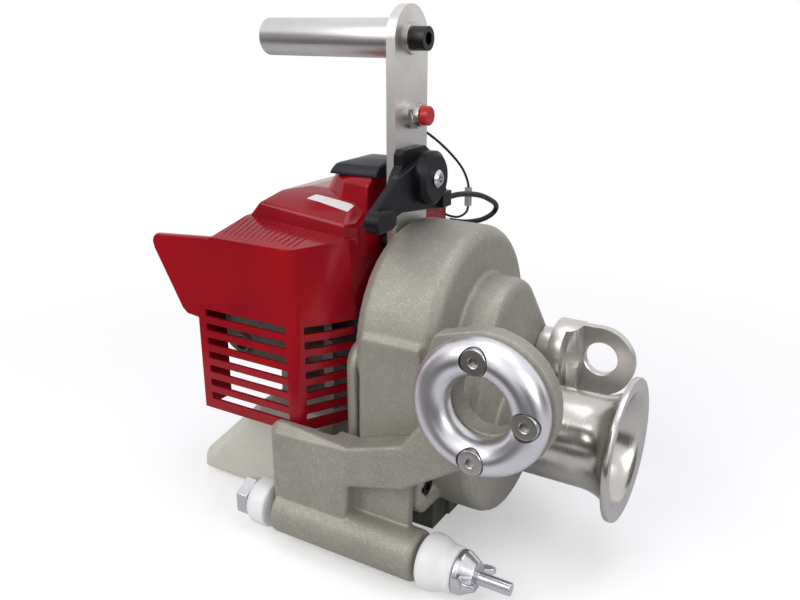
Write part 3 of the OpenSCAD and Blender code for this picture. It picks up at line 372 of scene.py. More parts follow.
@dataclass(frozen=True)
class GlossPlastic(Finish):
    """Glossy moulded or lacquered plastic with a faint orange peel, dust and hairline scratches."""

    colour: Colour = (0.35, 0.005, 0.012)
    deep: Colour = (0.26, 0.003, 0.009)
    roughness: float = 0.14
    coat: float = 0.12
    peel: float = 0.000012
    shine: float = 0.2

    def paint(self, graph: Graph) -> None:
        """Adds cloudy colour, dust, scratches and the peel.

        Args:
            graph: The material's nodes.
        """
        cloud = graph.spots(14.0, 3.0, 0.35, 0.7)
        dust = graph.spots(420.0, 3.0, 0.62, 0.78, 0.7) * graph.spots(30.0, 2.0, 0.45, 0.7)
        along = graph.stretched((0.05, 1, 1), (0.2, 0.5, 0.9))
        hair = graph.ramp(graph.noise(900.0, 1.0, 0.5, along), 0.73, 0.77)
        pale = tuple(min(1.0, c * 1.5 + 0.03) for c in self.colour)
        base = graph.blend(cloud, self.colour, self.deep)
        rough = graph.ramp(cloud, 0.0, 1.0, self.roughness, self.roughness + 0.05)
        graph.set(
            Base_Color=graph.blend(dust * 0.25, base, pale),
            Roughness=rough + dust * 0.2 + hair * 0.12,
            Coat_Roughness=0.06,
            Coat_Weight=(1 - dust * 0.6) * self.coat,
            IOR=1.5,
            Specular_IOR_Level=self.shine,
            Normal=graph.bump(graph.noise(330.0, 2.0), self.peel, 0.7),
        )


@dataclass(frozen=True)
class MattPlastic(Finish):
    """Moulded plastic, rubber or paint with a fine texture, worn patches and dust."""

    colour: Colour = (0.012, 0.012, 0.016)
    worn: Colour = (0.05, 0.05, 0.06)
    roughness: float = 0.45
    texture: float = 900.0
    depth: float = 0.00006
    glow: float = 0.0
    shine: float = 0.5

    def paint(self, graph: Graph) -> None:
        """Adds the texture, worn patches and a little dust.

        Args:
            graph: The material's nodes.
        """
        texture = graph.noise(self.texture, 3.0, 0.6)
        wear = graph.spots(55.0, 5.0, 0.5, 0.75, 0.6)
        dust = graph.ramp(graph.cells(800.0), 0.9, 1.0) * wear
        rough = graph.ramp(texture, 0.3, 0.7, self.roughness - 0.06, self.roughness + 0.08)
        graph.set(
            Base_Color=graph.blend(wear * 0.5 + dust * 0.4, self.colour, self.worn),
            Roughness=rough + wear * 0.06,
            Specular_IOR_Level=self.shine,
            Subsurface_Weight=self.glow,
            Subsurface_Radius=(0.006, 0.005, 0.004),
            Subsurface_Scale=0.5,
            Normal=graph.bump(texture, self.depth, 0.6),
        )


CAST = CastMetal("cast_alloy")
# a CastMetal's fourth value is the share of painted glint in its specks
CAST_DARK = CastMetal("dark_casting", (0.15, 0.15, 0.12), (0.08, 0.08, 0.064), 0.25, 0.2)
CAST_ENGINE = CastMetal("engine_casting", (0.3, 0.295, 0.28), (0.17, 0.165, 0.15), 0.3, 0.55)
MUFFLER = CastMetal("muffler_steel", (0.2, 0.19, 0.175), (0.1, 0.085, 0.07), 0.2, 0.6)
TURNED = WorkedMetal("turned_steel", (0.56, 0.545, 0.52), 0.21, depth=0.000006)
TURNED_EYE = WorkedMetal("turned_eye", (0.6, 0.58, 0.56), 0.29, Grain.AROUND_X, 1500.0, 0.00002)
POLISHED = WorkedMetal(
    "polished_alloy", (0.74, 0.73, 0.77), 0.3, Grain.AROUND_Y, 1400.0, 0.00003, (0.6, 0.59, 0.63),
)
BRUSHED_BAR = WorkedMetal(
    "brushed_bar", (0.68, 0.66, 0.64), 0.34, Grain.ALONG_Z, 1600.0, 0.00006, (0.55, 0.53, 0.5),
)
BRUSHED_GRIP = WorkedMetal(
    "brushed_grip", (0.66, 0.65, 0.65), 0.3, Grain.ALONG_X, 1500.0, 0.00006, (0.52, 0.5, 0.5),
)
ZINC = WorkedMetal("bright_zinc", (0.7, 0.71, 0.74), 0.2, Grain.ALONG_X, 500.0, 0.00008, (0.5, 0.5, 0.53))
STAINLESS = WorkedMetal(
    "stainless_screw", (0.58, 0.57, 0.55), 0.27, Grain.AROUND_Y, 1100.0, 0.00004, (0.42, 0.41, 0.39),
)
GEAR_STEEL = WorkedMetal("gear_steel", (0.42, 0.41, 0.4), 0.3, Grain.AROUND_X, 1200.0)
BLACK_STEEL = WorkedMetal(
    "black_steel", (0.035, 0.034, 0.036), 0.36, Grain.AROUND_X, 900.0, 0.00004, (0.07, 0.065, 0.06),
)
RED_COVER = GlossPlastic("red_cover")
RED_BUTTON = GlossPlastic("red_button", (0.55, 0.02, 0.02), (0.42, 0.012, 0.014), 0.28, 0.3)
BLACK = MattPlastic("black_plastic", (0.006, 0.006, 0.009), (0.016, 0.016, 0.022), 0.4, shine=0.22)
BLACK_CAP = MattPlastic("black_cap", (0.01, 0.01, 0.018), (0.02, 0.02, 0.032), 0.4, 1100.0, shine=0.3)
NYLON = MattPlastic("white_nylon", (0.9, 0.9, 0.9), (0.84, 0.83, 0.82), 0.38, 700.0, 0.00005, 0.15)
TANK = MattPlastic("tank_plastic", (0.66, 0.64, 0.57), (0.56, 0.53, 0.46), 0.4, 500.0, 0.00008, 0.3)
RUBBER = MattPlastic("black_rubber", (0.008, 0.008, 0.009), (0.025, 0.025, 0.025), 0.5, 1400.0, shine=0.25)
CLEAR_SLEEVE = MattPlastic("clear_sleeve", (0.45, 0.44, 0.43), (0.3, 0.29, 0.28), 0.3, 900.0, 0.00003, 0.2)
LINING = MattPlastic("friction_lining", (0.14, 0.08, 0.05), (0.22, 0.14, 0.1), 0.75, 1300.0, 0.0001)
CERAMIC = GlossPlastic("ceramic", (0.75, 0.74, 0.7), (0.68, 0.66, 0.61), 0.15, 0.5)
STICKER = MattPlastic("bare_sticker", (0.8, 0.79, 0.77), (0.7, 0.68, 0.66), 0.32, 1000.0, 0.00002)


# Mesh work that the sub-assemblies share. Meshes are built in millimetres.


def hull(points: Iterable[Point]) -> Solid:
    """Makes the convex solid round the points.

    Args:
        points: The points, in millimetres.

    Returns:
        The closed solid.
    """
    mesh = bmesh.new()
    for point in points:
        mesh.verts.new(point)
    made = bmesh.ops.convex_hull(mesh, input=mesh.verts, use_existing_faces=False)
    loose = {v for v in made["geom_interior"] + made["geom_unused"] if isinstance(v, bmesh.types.BMVert)}
    bmesh.ops.delete(mesh, geom=list(loose), context="VERTS")
    bmesh.ops.dissolve_limit(mesh, angle_limit=FLAT, verts=mesh.verts, edges=mesh.edges)
    bmesh.ops.recalc_face_normals(mesh, faces=mesh.faces)
    return mesh


def soft_hull(points: Iterable[Point], roundings: Sequence[tuple[float, int, float, EdgeTest]]) -> Solid:
    """Makes a convex solid with rounded edges.

    Args:
        points: The solid's corners.
        roundings: Each round's radius, flats, least angle in degrees and choice of edges.

    Returns:
        The closed solid, which stays convex.
    """
    mesh = hull(points)
    for radius, segments, least, chosen in roundings:
        round_edges(mesh, radius, segments, chosen, least)
        rounded = hull([tuple(v.co) for v in mesh.verts])
        mesh.free()
        mesh = rounded
    return mesh


def prism(outline: Pairs, low: float, high: float) -> Solid:
    """Extrudes a plan.

    Args:
        outline: Its corners.
        low: The height at which the solid starts.
        high: The height at which it ends.

    Returns:
        The closed solid.
    """
    mesh = bmesh.new()
    face = mesh.faces.new([mesh.verts.new((x, y, low)) for x, y in outline])
    made = bmesh.ops.extrude_face_region(mesh, geom=[face], use_keep_orig=True)
    moved = [item for item in made["geom"] if isinstance(item, bmesh.types.BMVert)]
    bmesh.ops.translate(mesh, verts=moved, vec=(0.0, 0.0, high - low))
    bmesh.ops.recalc_face_normals(mesh, faces=mesh.faces)
    return mesh


def loft(sections: Sequence[Sequence[Point]]) -> Solid:
    """Makes the closed solid through several rings of the same number of points.

    Args:
        sections: The rings in order.

    Returns:
        The closed solid.
    """
    mesh = bmesh.new()
    rings = [[mesh.verts.new(point) for point in section] for section in sections]
    for first, second in zip(rings, rings[1:]):
        for i in range(len(first)):
            k = (i + 1) % len(first)
            mesh.faces.new([first[i], first[k], second[k], second[i]])
    mesh.faces.new(rings[0])
    mesh.faces.new(rings[-1])
    bmesh.ops.recalc_face_normals(mesh, faces=mesh.faces)
    return mesh


def box(low: Point, high: Point) -> Solid:
    """Makes a box between two corners.

    Args:
        low: The corner with the lowest places.
        high: The opposite corner.

    Returns:
        The box.
    """
    mesh = bmesh.new()
    bmesh.ops.create_cube(mesh, size=1.0)
    bmesh.ops.scale(mesh, verts=mesh.verts, vec=Vector(high) - Vector(low))
    bmesh.ops.translate(mesh, verts=mesh.verts, vec=(Vector(low) + Vector(high)) / 2)
    return mesh


def turned(profile: Pairs, centre: Point, axis: Point, steps: int = 96, closed: bool = False) -> Solid:
    """Turns a profile on a lathe.

    Args:
        profile: Pairs of the length along the axis and the radius.
        centre: A point on the axis, from which the lengths count.
        axis: The axis, a unit vector along X, Y or Z.
        steps: The number of flats round the axis.
        closed: Whether the last point joins the first, as for a ring.

    Returns:
        The closed solid.
    """
    along = Vector(axis)
    out = Vector((0, 0, 1)) if abs(along.z) < 0.5 else Vector((1, 0, 0))
    mesh = bmesh.new()
    spots = [Vector(centre) + along * length + out * radius for length, radius in profile]
    line = [mesh.verts.new(spot) for spot in spots]
    pairs = list(zip(line, line[1:])) + ([(line[-1], line[0])] if closed else [])
    edges = [mesh.edges.new(pair) for pair in pairs]
    parts = line + edges
    bmesh.ops.spin(mesh, geom=parts, cent=centre, axis=along, angle=math.tau, steps=steps, use_merge=True)
    bmesh.ops.remove_doubles(mesh, verts=mesh.verts, dist=SEAM)
    bmesh.ops.recalc_face_normals(mesh, faces=mesh.faces)
    return mesh


def rod(centre: Point, axis: Point, low: float, high: float, radius: float, steps: int = 48) -> Solid:
    """Returns a plain rod along an axis, for cutting and as a blank."""
    return turned([(low, 0), (low, radius), (high, radius), (high, 0)], centre, axis, steps)


def round_edges(
    mesh: Solid, radius: float, segments: int = 3, chosen: EdgeTest = lambda edge: True, least: float = 25.0,
) -> None:
    """Rounds the solid's sharp edges.

    Args:
        mesh: The solid.
        radius: How far the rounding reaches from the edge.
        segments: The flats of the rounding.
        chosen: Tells which of the sharp edges are rounded.
        least: The smallest angle in degrees between faces that counts as sharp.
    """
    sharp = [
        edge for edge in mesh.edges
        if len(edge.link_faces) == 2 and edge.calc_face_angle(0) > math.radians(least) and chosen(edge)
    ]
    bmesh.ops.bevel(
        mesh, geom=sharp, offset=radius, offset_type="OFFSET", segments=segments, profile=0.5,
        affect="EDGES", clamp_overlap=True, material=-1,
    )


def joined(meshes: Iterable[Solid]) -> Solid:
    """Puts several closed solids in one mesh.

    Args:
        meshes: The solids, which are freed.

    Returns:
        The mesh.
    """
    whole = bmesh.new()
    for mesh in meshes:
        data = bpy.data.meshes.new("part")
        mesh.to_mesh(data)
        mesh.free()
        whole.from_mesh(data)
        bpy.data.meshes.remove(data)
    return whole


def copied(data: bpy.types.Mesh) -> Solid:
    """Copies a mesh.

    Args:
        data: The mesh, in metres.

    Returns:
        The copy, in millimetres.
    """
    mesh = bmesh.new()
    mesh.from_mesh(data)
    bmesh.ops.scale(mesh, verts=mesh.verts, vec=Vector((1, 1, 1)) / MM)
    return mesh


def node_copy(name: str) -> Solid:
    """Copies a CAD node's mesh and merges its corners.

    Args:
        name: The node's name.

    Returns:
        The copy, in millimetres.
    """
    mesh = copied(frame["nodes"][name].data)
    bmesh.ops.remove_doubles(mesh, verts=mesh.verts, dist=MERGE)
    return mesh


def placed(name: str, data: bpy.types.ID) -> Item:
    """Puts a new object in the scene.

    Args:
        name: Its name.
        data: Its mesh, curve, camera or lamp.

    Returns:
        The object.
    """
    made = bpy.data.objects.new(name, data)
    bpy.context.scene.collection.objects.link(made)
    return made


def as_item(name: str, mesh: Solid) -> Item:
    """Makes an object.

    Args:
        name: The object's name.
        mesh: Its shape in millimetres, which is freed.

    Returns:
        The object, in metres, at the origin.
    """
    bmesh.ops.scale(mesh, verts=mesh.verts, vec=Vector((MM, MM, MM)))
    data = bpy.data.meshes.new(name)
    mesh.to_mesh(data)
    mesh.free()
    return placed(name, data)


def settle(item: Item) -> None:
    """Makes the object's modifiers part of its mesh.

    Args:
        item: The object.
    """
    graph = bpy.context.evaluated_depsgraph_get()
    graph.update()
    data = bpy.data.meshes.new_from_object(item.evaluated_get(graph))
    old = item.data
    item.modifiers.clear()
    item.data = data
    data.name = item.name
    bpy.data.meshes.remove(old)


def combine(item: Item, tool: Solid, how: str = "DIFFERENCE", self_cut: bool = False) -> None:
    """Cuts a solid from an object, or adds it.

    Args:
        item: The object that changes.
        tool: The other solid, in millimetres, which is freed.
        how: DIFFERENCE, UNION or INTERSECT.
        self_cut: Whether the tool's own solids overlap.
    """
    other = as_item("tool", tool)
    cut = item.modifiers.new("cut", "BOOLEAN")
    cut.operation = how
    cut.solver = "EXACT"
    cut.use_self = self_cut
    cut.object = other
    settle(item)
    bpy.data.objects.remove(other)


def soften(item: Item, voxel: float, passes: int) -> None:
    """Rounds a casting's edges and fills its corners.

    Args:
        item: The casting.
        voxel: The new mesh's spacing in millimetres.
        passes: How often it is smoothed.
    """
    remesh = item.modifiers.new("remesh", "REMESH")
    remesh.mode = "VOXEL"
    remesh.voxel_size = voxel * MM
    remesh.use_smooth_shade = True
    smooth = item.modifiers.new("smooth", "SMOOTH")
    smooth.factor = 0.5
    smooth.iterations = passes
    settle(item)


def hand_over(
    item: Item, finish: Finish, nodes: Sequence[str] = (),
    smooth: float = 32.0, flat: bool = False,
) -> None:
    """Finishes a piece and fixes it to the body of its nodes, or to the housing.

    Args:
        item: The piece.
        finish: Its finish.
        nodes: The CAD nodes that it stands for.
        smooth: The angle in degrees past which an edge stays sharp.
        flat: Whether its large faces are shaded flat and only its roundings bend the light.
    """
    item.data.materials.clear()
    item.data.materials.append(finish.material())
    if item.type == "MESH":
        item.data.shade_smooth()
        item.data.set_sharp_from_angle(angle=math.radians(smooth))
        if flat:
            level = item.modifiers.new("level", "WEIGHTED_NORMAL")
            level.keep_sharp = True
            level.weight = LEVEL
    body = frame["nodes"][nodes[0]]["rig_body"] if nodes else "housing"
    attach(item, body)
    if nodes:
        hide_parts(*nodes)
    triangles = sum(len(p.vertices) - 2 for p in item.data.polygons) if item.type == "MESH" else 0
    log.info("%s on %s: %s, %d triangles", item.name, body, finish.name, triangles)


def shifted(length: float, radius: float, steps: Pairs) -> list[tuple[float, float]]:
    """Returns a profile whose steps are counted from the given length and radius."""
    return [(length + along, radius + out) for along, out in steps]


@dataclass
class EasedParts:
    """CAD nodes that only need broken edges: node, finish, slot and edge in millimetres."""

    parts: tuple[tuple[str, Finish, str, float], ...] = (
        ("handle_bar", BRUSHED_BAR, "machined_alloy", 0.7),
        ("grip_screw", BLACK_STEEL, "black_steel", 0.5),
        ("grip_washer", STAINLESS, "zinc_steel", 0.3),
        ("throttle_base", BLACK, "black_plastic", 1.0),
        ("throttle_lever", BLACK, "black_plastic", 1.0),
        ("friction_knob", BLACK, "black_plastic", 0.6),
        ("knob_screw", ZINC, "zinc_steel", 0.3),
        ("switch_body", STAINLESS, "zinc_steel", 0.35),
        ("stop_button", RED_BUTTON, "button_red", 0.4),
        ("bracket_pin", ZINC, "zinc_steel", 0.6),
        ("starter_handle", BLACK, "black_plastic", 1.0),
        ("fuel_cap", BLACK, "black_plastic", 0.6),
        ("m8_screws", BLACK_STEEL, "black_steel", 0.4),
    )

    def build(self) -> None:
        """Copies each node, breaks its edges and dresses it."""
        for node, finish, slot, edge in self.parts:
            mesh = node_copy(node)
            bmesh.ops.dissolve_limit(mesh, angle_limit=0.005, verts=mesh.verts, edges=mesh.edges)
            round_edges(mesh, edge, 2, least=34.0)
            hand_over(as_item(f"eased_{node}", mesh), finish, [node], flat=True)


@dataclass
class SoftCastings:
    """Sand castings and the blow-moulded tank: node, finish, slot, voxel and smoothing passes.

    The seat floor (start, end and radius) closes the thin wall that the housing's remesh opens.
    """

    parts: tuple[tuple[str, Finish, str, float, int], ...] = (
        ("gear_housing", CAST, "cast_alloy", 1.6, 3),
        ("side_bracket", CAST, "cast_alloy", 1.1, 2),
        ("base_foot", CAST_DARK, "dark_casting", 1.0, 3),
        ("rear_plate", CAST, "cast_alloy", 1.5, 3),
        ("fuel_tank", TANK, "tank_plastic", 1.7, 6),
    )
    seat_floor: tuple[float, float, float] = (96.05, 97.0, 14.3)

    def build(self) -> None:
        """Copies each node, rounds it all over and dresses it."""
        for node, finish, slot, voxel, passes in self.parts:
            item = as_item(f"soft_{node}", node_copy(node))
            soften(item, voxel, passes)
            if node == "gear_housing":
                start, end, radius = self.seat_floor
                combine(item, rod((0, 0, CRANK_Z), ALONG_X, start, end, radius), "UNION")
            hand_over(item, finish, [node], 60.0)


@dataclass
class CadFinishes:
    """Finishes of the CAD nodes that are shown as they are, with their nodes."""

    finishes: tuple[tuple[Finish, str], ...] = (
        (GEAR_STEEL, "drum_shaft output_gear final_pinion mid_gear mid_shaft lay_gear lay_shaft"),
        (GEAR_STEEL, "input_pinion crankshaft connecting_rod"),
        (BLACK_STEEL, "drum_screw clutch_drum"),
        (RUBBER, "drum_seal"),
        (TURNED, "ball_bearings piston"),
        (CAST_ENGINE, "carrier_plate clutch_plate flywheel crankcase cylinder carburettor"),
        (LINING, "clutch_shoes"),
        (BLACK_CAP, "fan_housing air_filter_cover starter_cover"),
        (MUFFLER, "muffler"),
        (CERAMIC, "spark_plug"),
        (NYLON, "starter_pulley"),
        (ZINC, "swivel_nut"),
        (CLEAR_SLEEVE, "wire_connector"),
    )

    def dress(self) -> None:
        """Puts each finish in its nodes' material slots."""
        for finish, names in self.finishes:
            for name in names.split():
                slots = frame["nodes"][name].data.materials
                slots.clear()
                slots.append(finish.material())
                log.info("%s: %s", name, finish.name)


@dataclass
class Drum:
    """Rope drum with a flared rim and a hollow mouth."""

    seat_r: float = 37.5
    rim_r: float = 56.4
    flare_len: float = 26.0
    depth: float = 42.0
    shaft_r: float = 13.6
    back_r: float = 22.0
    steps: int = 128

    def profile(self, start: float, end: float) -> list[tuple[float, float]]:
        """Draws the drum's outline from its back to the floor of its mouth.

        Args:
            start: The back's place along X.
            end: The mouth's place along X.

        Returns:
            Pairs of the place along X and the radius.
        """
        length = end - start
        rise = self.rim_r - self.seat_r
        outside = []
        for i in range(25):
            t = i / 24
            radius = self.seat_r + rise * (1 - math.sqrt(1 - (t * 0.9375) ** 2.2))
            outside.append((length - 5 - self.flare_len * (1 - t), radius))
        rim = shifted(
            length, self.rim_r, ((-4.6, -0.4), (-4.0, 0), (-1.2, 0), (-0.3, -0.3), (0, -1.2), (-0.2, -5.5)),
        )
        mouth = []
        for i in range(1, 19):
            t = i / 18
            mouth.append((length - 0.2 - 30 * t ** 1.6, self.rim_r - 5.5 - 19.4 * t ** 0.62))
        floor = length - self.depth
        tail = shifted(floor, self.seat_r, ((3, -7), (0.8, -7.4), (0, -9))) + [(floor, self.shaft_r)]
        back = [(0.0, self.back_r)] + shifted(0.0, self.seat_r, ((0, -1.2), (0.4, -0.3), (1.2, 0)))
        return [(x + start, r) for x, r in back + outside + rim + mouth + tail]

    def build(self) -> None:
        """Turns the drum and dresses it."""
        low, high = (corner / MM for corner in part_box("drum"))
        middle = (low + high) / 2
        centre = (0.0, middle.y, middle.z)
        mesh = turned(self.profile(low.x, high.x), centre, ALONG_X, self.steps, closed=True)
        hand_over(as_item("rope_drum", mesh), TURNED, ["drum"], 40.0)


@dataclass
class RopeGuide:
    """Polished guide ring with three countersunk screws."""

    centre: Point = (119.5, -114.5, 174.0)
    ring_r: float = 36.5
    tube_r: float = 13.2
    flat_y: float = -106.5
    angles: tuple[float, ...] = (91.0, 0.0, 269.0)
    head_r: float = 9.4
    seat_r: float = 10.2
    seat_depth: float = 5.6
    head_sink: float = 0.6
    steps: int = 48

    def ring(self) -> None:
        """Turns the ring, cuts its flat back and the screws' seats, and dresses it."""
        back = self.flat_y - self.centre[1]
        start = math.asin(back / self.tube_r)
        arc = []
        for i in range(self.steps + 1):
            angle = start - (math.pi + 2 * start) * i / self.steps
            arc.append((math.sin(angle) * self.tube_r, self.ring_r + math.cos(angle) * self.tube_r))
        item = as_item("rope_ring", turned(arc, self.centre, ALONG_Y, 144, closed=True))
        low, high = -self.tube_r - 3, -self.tube_r + self.seat_depth
        seats = [rod(self.spot(angle), ALONG_Y, low, high, self.seat_r) for angle in self.angles]
        combine(item, joined(seats))
        hand_over(item, POLISHED, ["guide_ring"], 38.0)

    def spot(self, angle: float) -> Point:
        """Finds the middle of the ring's section.

        Args:
            angle: The angle round the ring, in degrees.

        Returns:
            The place.
        """
        x, y, z = self.centre
        turn = math.radians(angle)
        return (x + self.ring_r * math.cos(turn), y, z + self.ring_r * math.sin(turn))

    def screws(self) -> None:
        """Makes the three screw heads with round dished sockets, and dresses them."""
        top = -self.tube_r + self.head_sink
        dish = ((3.2, 0), (3.2, 3.3), (0.4, 3.4), (0, 3.9), (-0.1, 6.8), (0, 8.9))
        edge = ((0.4, -0.2), (1.2, 0), (4.6, 0), (5, -1))
        profile = shifted(top, 0, dish) + shifted(top, self.head_r, edge) + [(top + 5, 0)]
        heads = [turned(profile, self.spot(angle), ALONG_Y, 48) for angle in self.angles]
        item = as_item("ring_screw_heads", joined(heads))
        hand_over(item, STAINLESS, ["ring_screws"], 30.0)

    def build(self) -> None:
        """Builds ring and screws."""
        self.ring()
        self.screws()


@dataclass
class SwivelEye:
    """Turned swivel with a flat tongue and a round hole."""

    axis: Point = (0.0, 60.0, 149.7)
    neck: tuple[float, float, float] = (97.3, 110.6, 19.8)
    disc: tuple[float, float, float] = (110.5, 122.0, 29.8)
    hole_x: float = 149.4
    hole_up: float = 2.8
    hole_r: float = 14.0
    end_x: float = 147.4
    tongue: float = 8.0
    fillet: float = 11.0
    marks: tuple[tuple[float, float], ...] = ((-4.4, 11.8), (-11.7, 1.2))

    def build(self) -> None:
        """Turns the disc and neck, adds the tongue, cuts the hole and dresses it."""
        x0, x1, r = self.disc
        n0, n1, nr = self.neck
        profile = [(n0, 0), (n0, nr), (n1, nr), *shifted(x0, r, ((0, -0.5), (0.15, -0.15), (0.5, 0))),
                   *shifted(x1, r, ((-0.6, 0), (-0.15, -0.15), (0, -0.6))), (x1, 0)]
        item = as_item("eye_swivel", turned(profile, self.axis, ALONG_X))
        half = self.tongue / 2
        outline = [(x1 - 4, -half - self.fillet), (x1 - 0.5, -half - self.fillet)]
        for i in range(1, 9):
            turn = math.pi / 2 * i / 8
            outline.append((x1 + self.fillet * math.sin(turn), -half - self.fillet * math.cos(turn)))
        outline.append((self.end_x + r + 1, -half))
        outline += [(x, -y) for x, y in reversed(outline)]
        _, y0, z0 = self.axis
        plan = [(x, y + y0) for x, y in outline]
        tongue = as_item("tongue", prism(plan, z0 - r - 1, z0 + r + 1))
        ends = joined([
            rod((0, y0, z0), ALONG_X, x1 - 6, self.end_x, r - 0.05, 96),
            rod((self.end_x, y0, z0), ALONG_Y, -30, 30, r - 0.05, 96),
        ])
        combine(tongue, ends, "INTERSECT", self_cut=True)
        mesh = copied(tongue.data)
        bpy.data.objects.remove(tongue)
        combine(item, mesh, "UNION")
        near = ((-20, 17), (-half - 0.01, 0.9), (-half + 0.9, 0))
        far = ((half - 0.9, 0), (half + 0.01, 0.9), (20, 17))
        hole = [(-20, 0), *shifted(0, self.hole_r, near + far), (20, 0)]
        combine(item, turned(hole, (self.hole_x, y0, z0 + self.hole_up), ALONG_Y, 72))
        dots = [rod((0, y0 + y, z0 + z), ALONG_X, x1 - 0.5, x1 + 2, 0.9, 16) for y, z in self.marks]
        combine(item, joined(dots))
        hand_over(item, TURNED_EYE, ["swivel_eye"], 30.0)


@dataclass
class PinEnds:
    """White rollers and the wing nut on the bracket's pin."""

    y: float = -101.0
    z: float = 27.5
    pin_r: float = 8.0
    play: float = 0.05
    roller_r: float = 22.0
    left: tuple[float, float] = (-93.0, -73.0)
    right: tuple[float, float] = (72.0, 100.6)
    nut_x: float = 101.2
    wing_turn: float = -15.0

    def roller(self, side: str, profile: list[tuple[float, float]], ends: tuple[float, float]) -> None:
        """Turns one roller round its bore and dresses it.

        Args:
            side: Its side, left or right.
            profile: Its outside from end to end.
            ends: Where it starts and ends along X.
        """
        bore = self.pin_r + self.play
        profile = [(ends[0], bore), *profile, (ends[1], bore)]
        mesh = turned(profile, (0.0, self.y, self.z), ALONG_X, 72, closed=True)
        hand_over(as_item(f"{side}_bobbin", mesh), NYLON, [f"{side}_roller"], 50.0)

    def rollers(self) -> None:
        """Gives both rollers their soft profiles."""
        r = self.roller_r
        (x0, x1), (x2, x3) = self.left, self.right
        outer = ((0, -7.2), (0.6, -5.8), (2, -4.1), (3.5, -2.9), (5.5, -2), (8, -1.5), (10, -1.4))
        inner = ((-4, -1.5), (-1.8, -1.8), (-0.5, -2.4), (0, -3.2))
        self.roller("left", shifted(x0, r, outer) + shifted(x1, r, inner), self.left)
        dome = ((0, -3.8), (0.6, -2.6), (1.6, -1.4), (3, -0.5), (5, 0), (9, 0), (11.5, -0.3), (13.5, -0.8))
        neck = ((15.5, -1.6), (17.5, -2.7), (19.3, -3.6), (21, -4.05), (22.5, -4), (24, -3.8), (26.5, -3.8))
        end = ((-0.8, -4.3), (0, -5.2))
        self.roller("right", shifted(x2, r, dome + neck) + shifted(x3, r, end), self.right)

    def wing_nut(self) -> None:
        """Models the nut's cone and both wings, melts them together and dresses them."""
        x = self.nut_x
        centre = (0.0, self.y, self.z)
        cone = ((0, 5.05), (0, 16), (0.8, 17), (4.5, 17), (14.6, 11.4), (15, 10.6), (15, 5.05))
        parts = [turned(shifted(x, 0, cone), centre, ALONG_X, 48, closed=True)]
        for side in (0.0, 180.0):
            turn = Matrix.Rotation(math.radians(self.wing_turn + side), 4, "X")
            tip = ((9.6, 19.5), (12, 22.8), (17, 23.6), (21, 21.6), (21, 18.6))
            wing = hull(
                [(x + dx, 7.6, dz) for dx in (1.6, 11.8) for dz in (-2.7, 2.7)]
                + [(x + dx, y, dz) for dx, y in tip for dz in (-2.3, 2.3)]
            )
            round_edges(wing, 1.6, 3)
            bmesh.ops.transform(wing, matrix=Matrix.Translation(centre) @ turn, verts=wing.verts)
            parts.append(wing)
        item = as_item("wing_nut_cast", joined(parts))
        soften(item, 0.6, 3)
        hand_over(item, ZINC, ["wing_nut"], 50.0)

    def build(self) -> None:
        """Builds rollers and nut."""
        self.rollers()
        self.wing_nut()


@dataclass
class Grip:
    """Solid round grip with a bevelled free end."""

    x0: float = -138.0
    x1: float = -8.0
    z: float = 405.0
    radius: float = 15.0

    def build(self) -> None:
        """Turns the grip and dresses it."""
        x0, x1, r = self.x0, self.x1, self.radius
        free = ((0.6, -4.2), (0, -3.4), (0, -1.6), (0.4, -0.5), (1.5, 0))
        bore = shifted(x1, 0, ((0, 6), (-30, 6), (-30, 0)))
        profile = [(x0 + 0.6, 0), *shifted(x0, r, free), *shifted(x1, r, ((-0.4, 0), (0, -0.4))), *bore]
        item = as_item("grip_tube", turned(profile, (0, 0, self.z), ALONG_X))
        hand_over(item, BRUSHED_GRIP, ["handle_grip"], 30.0)


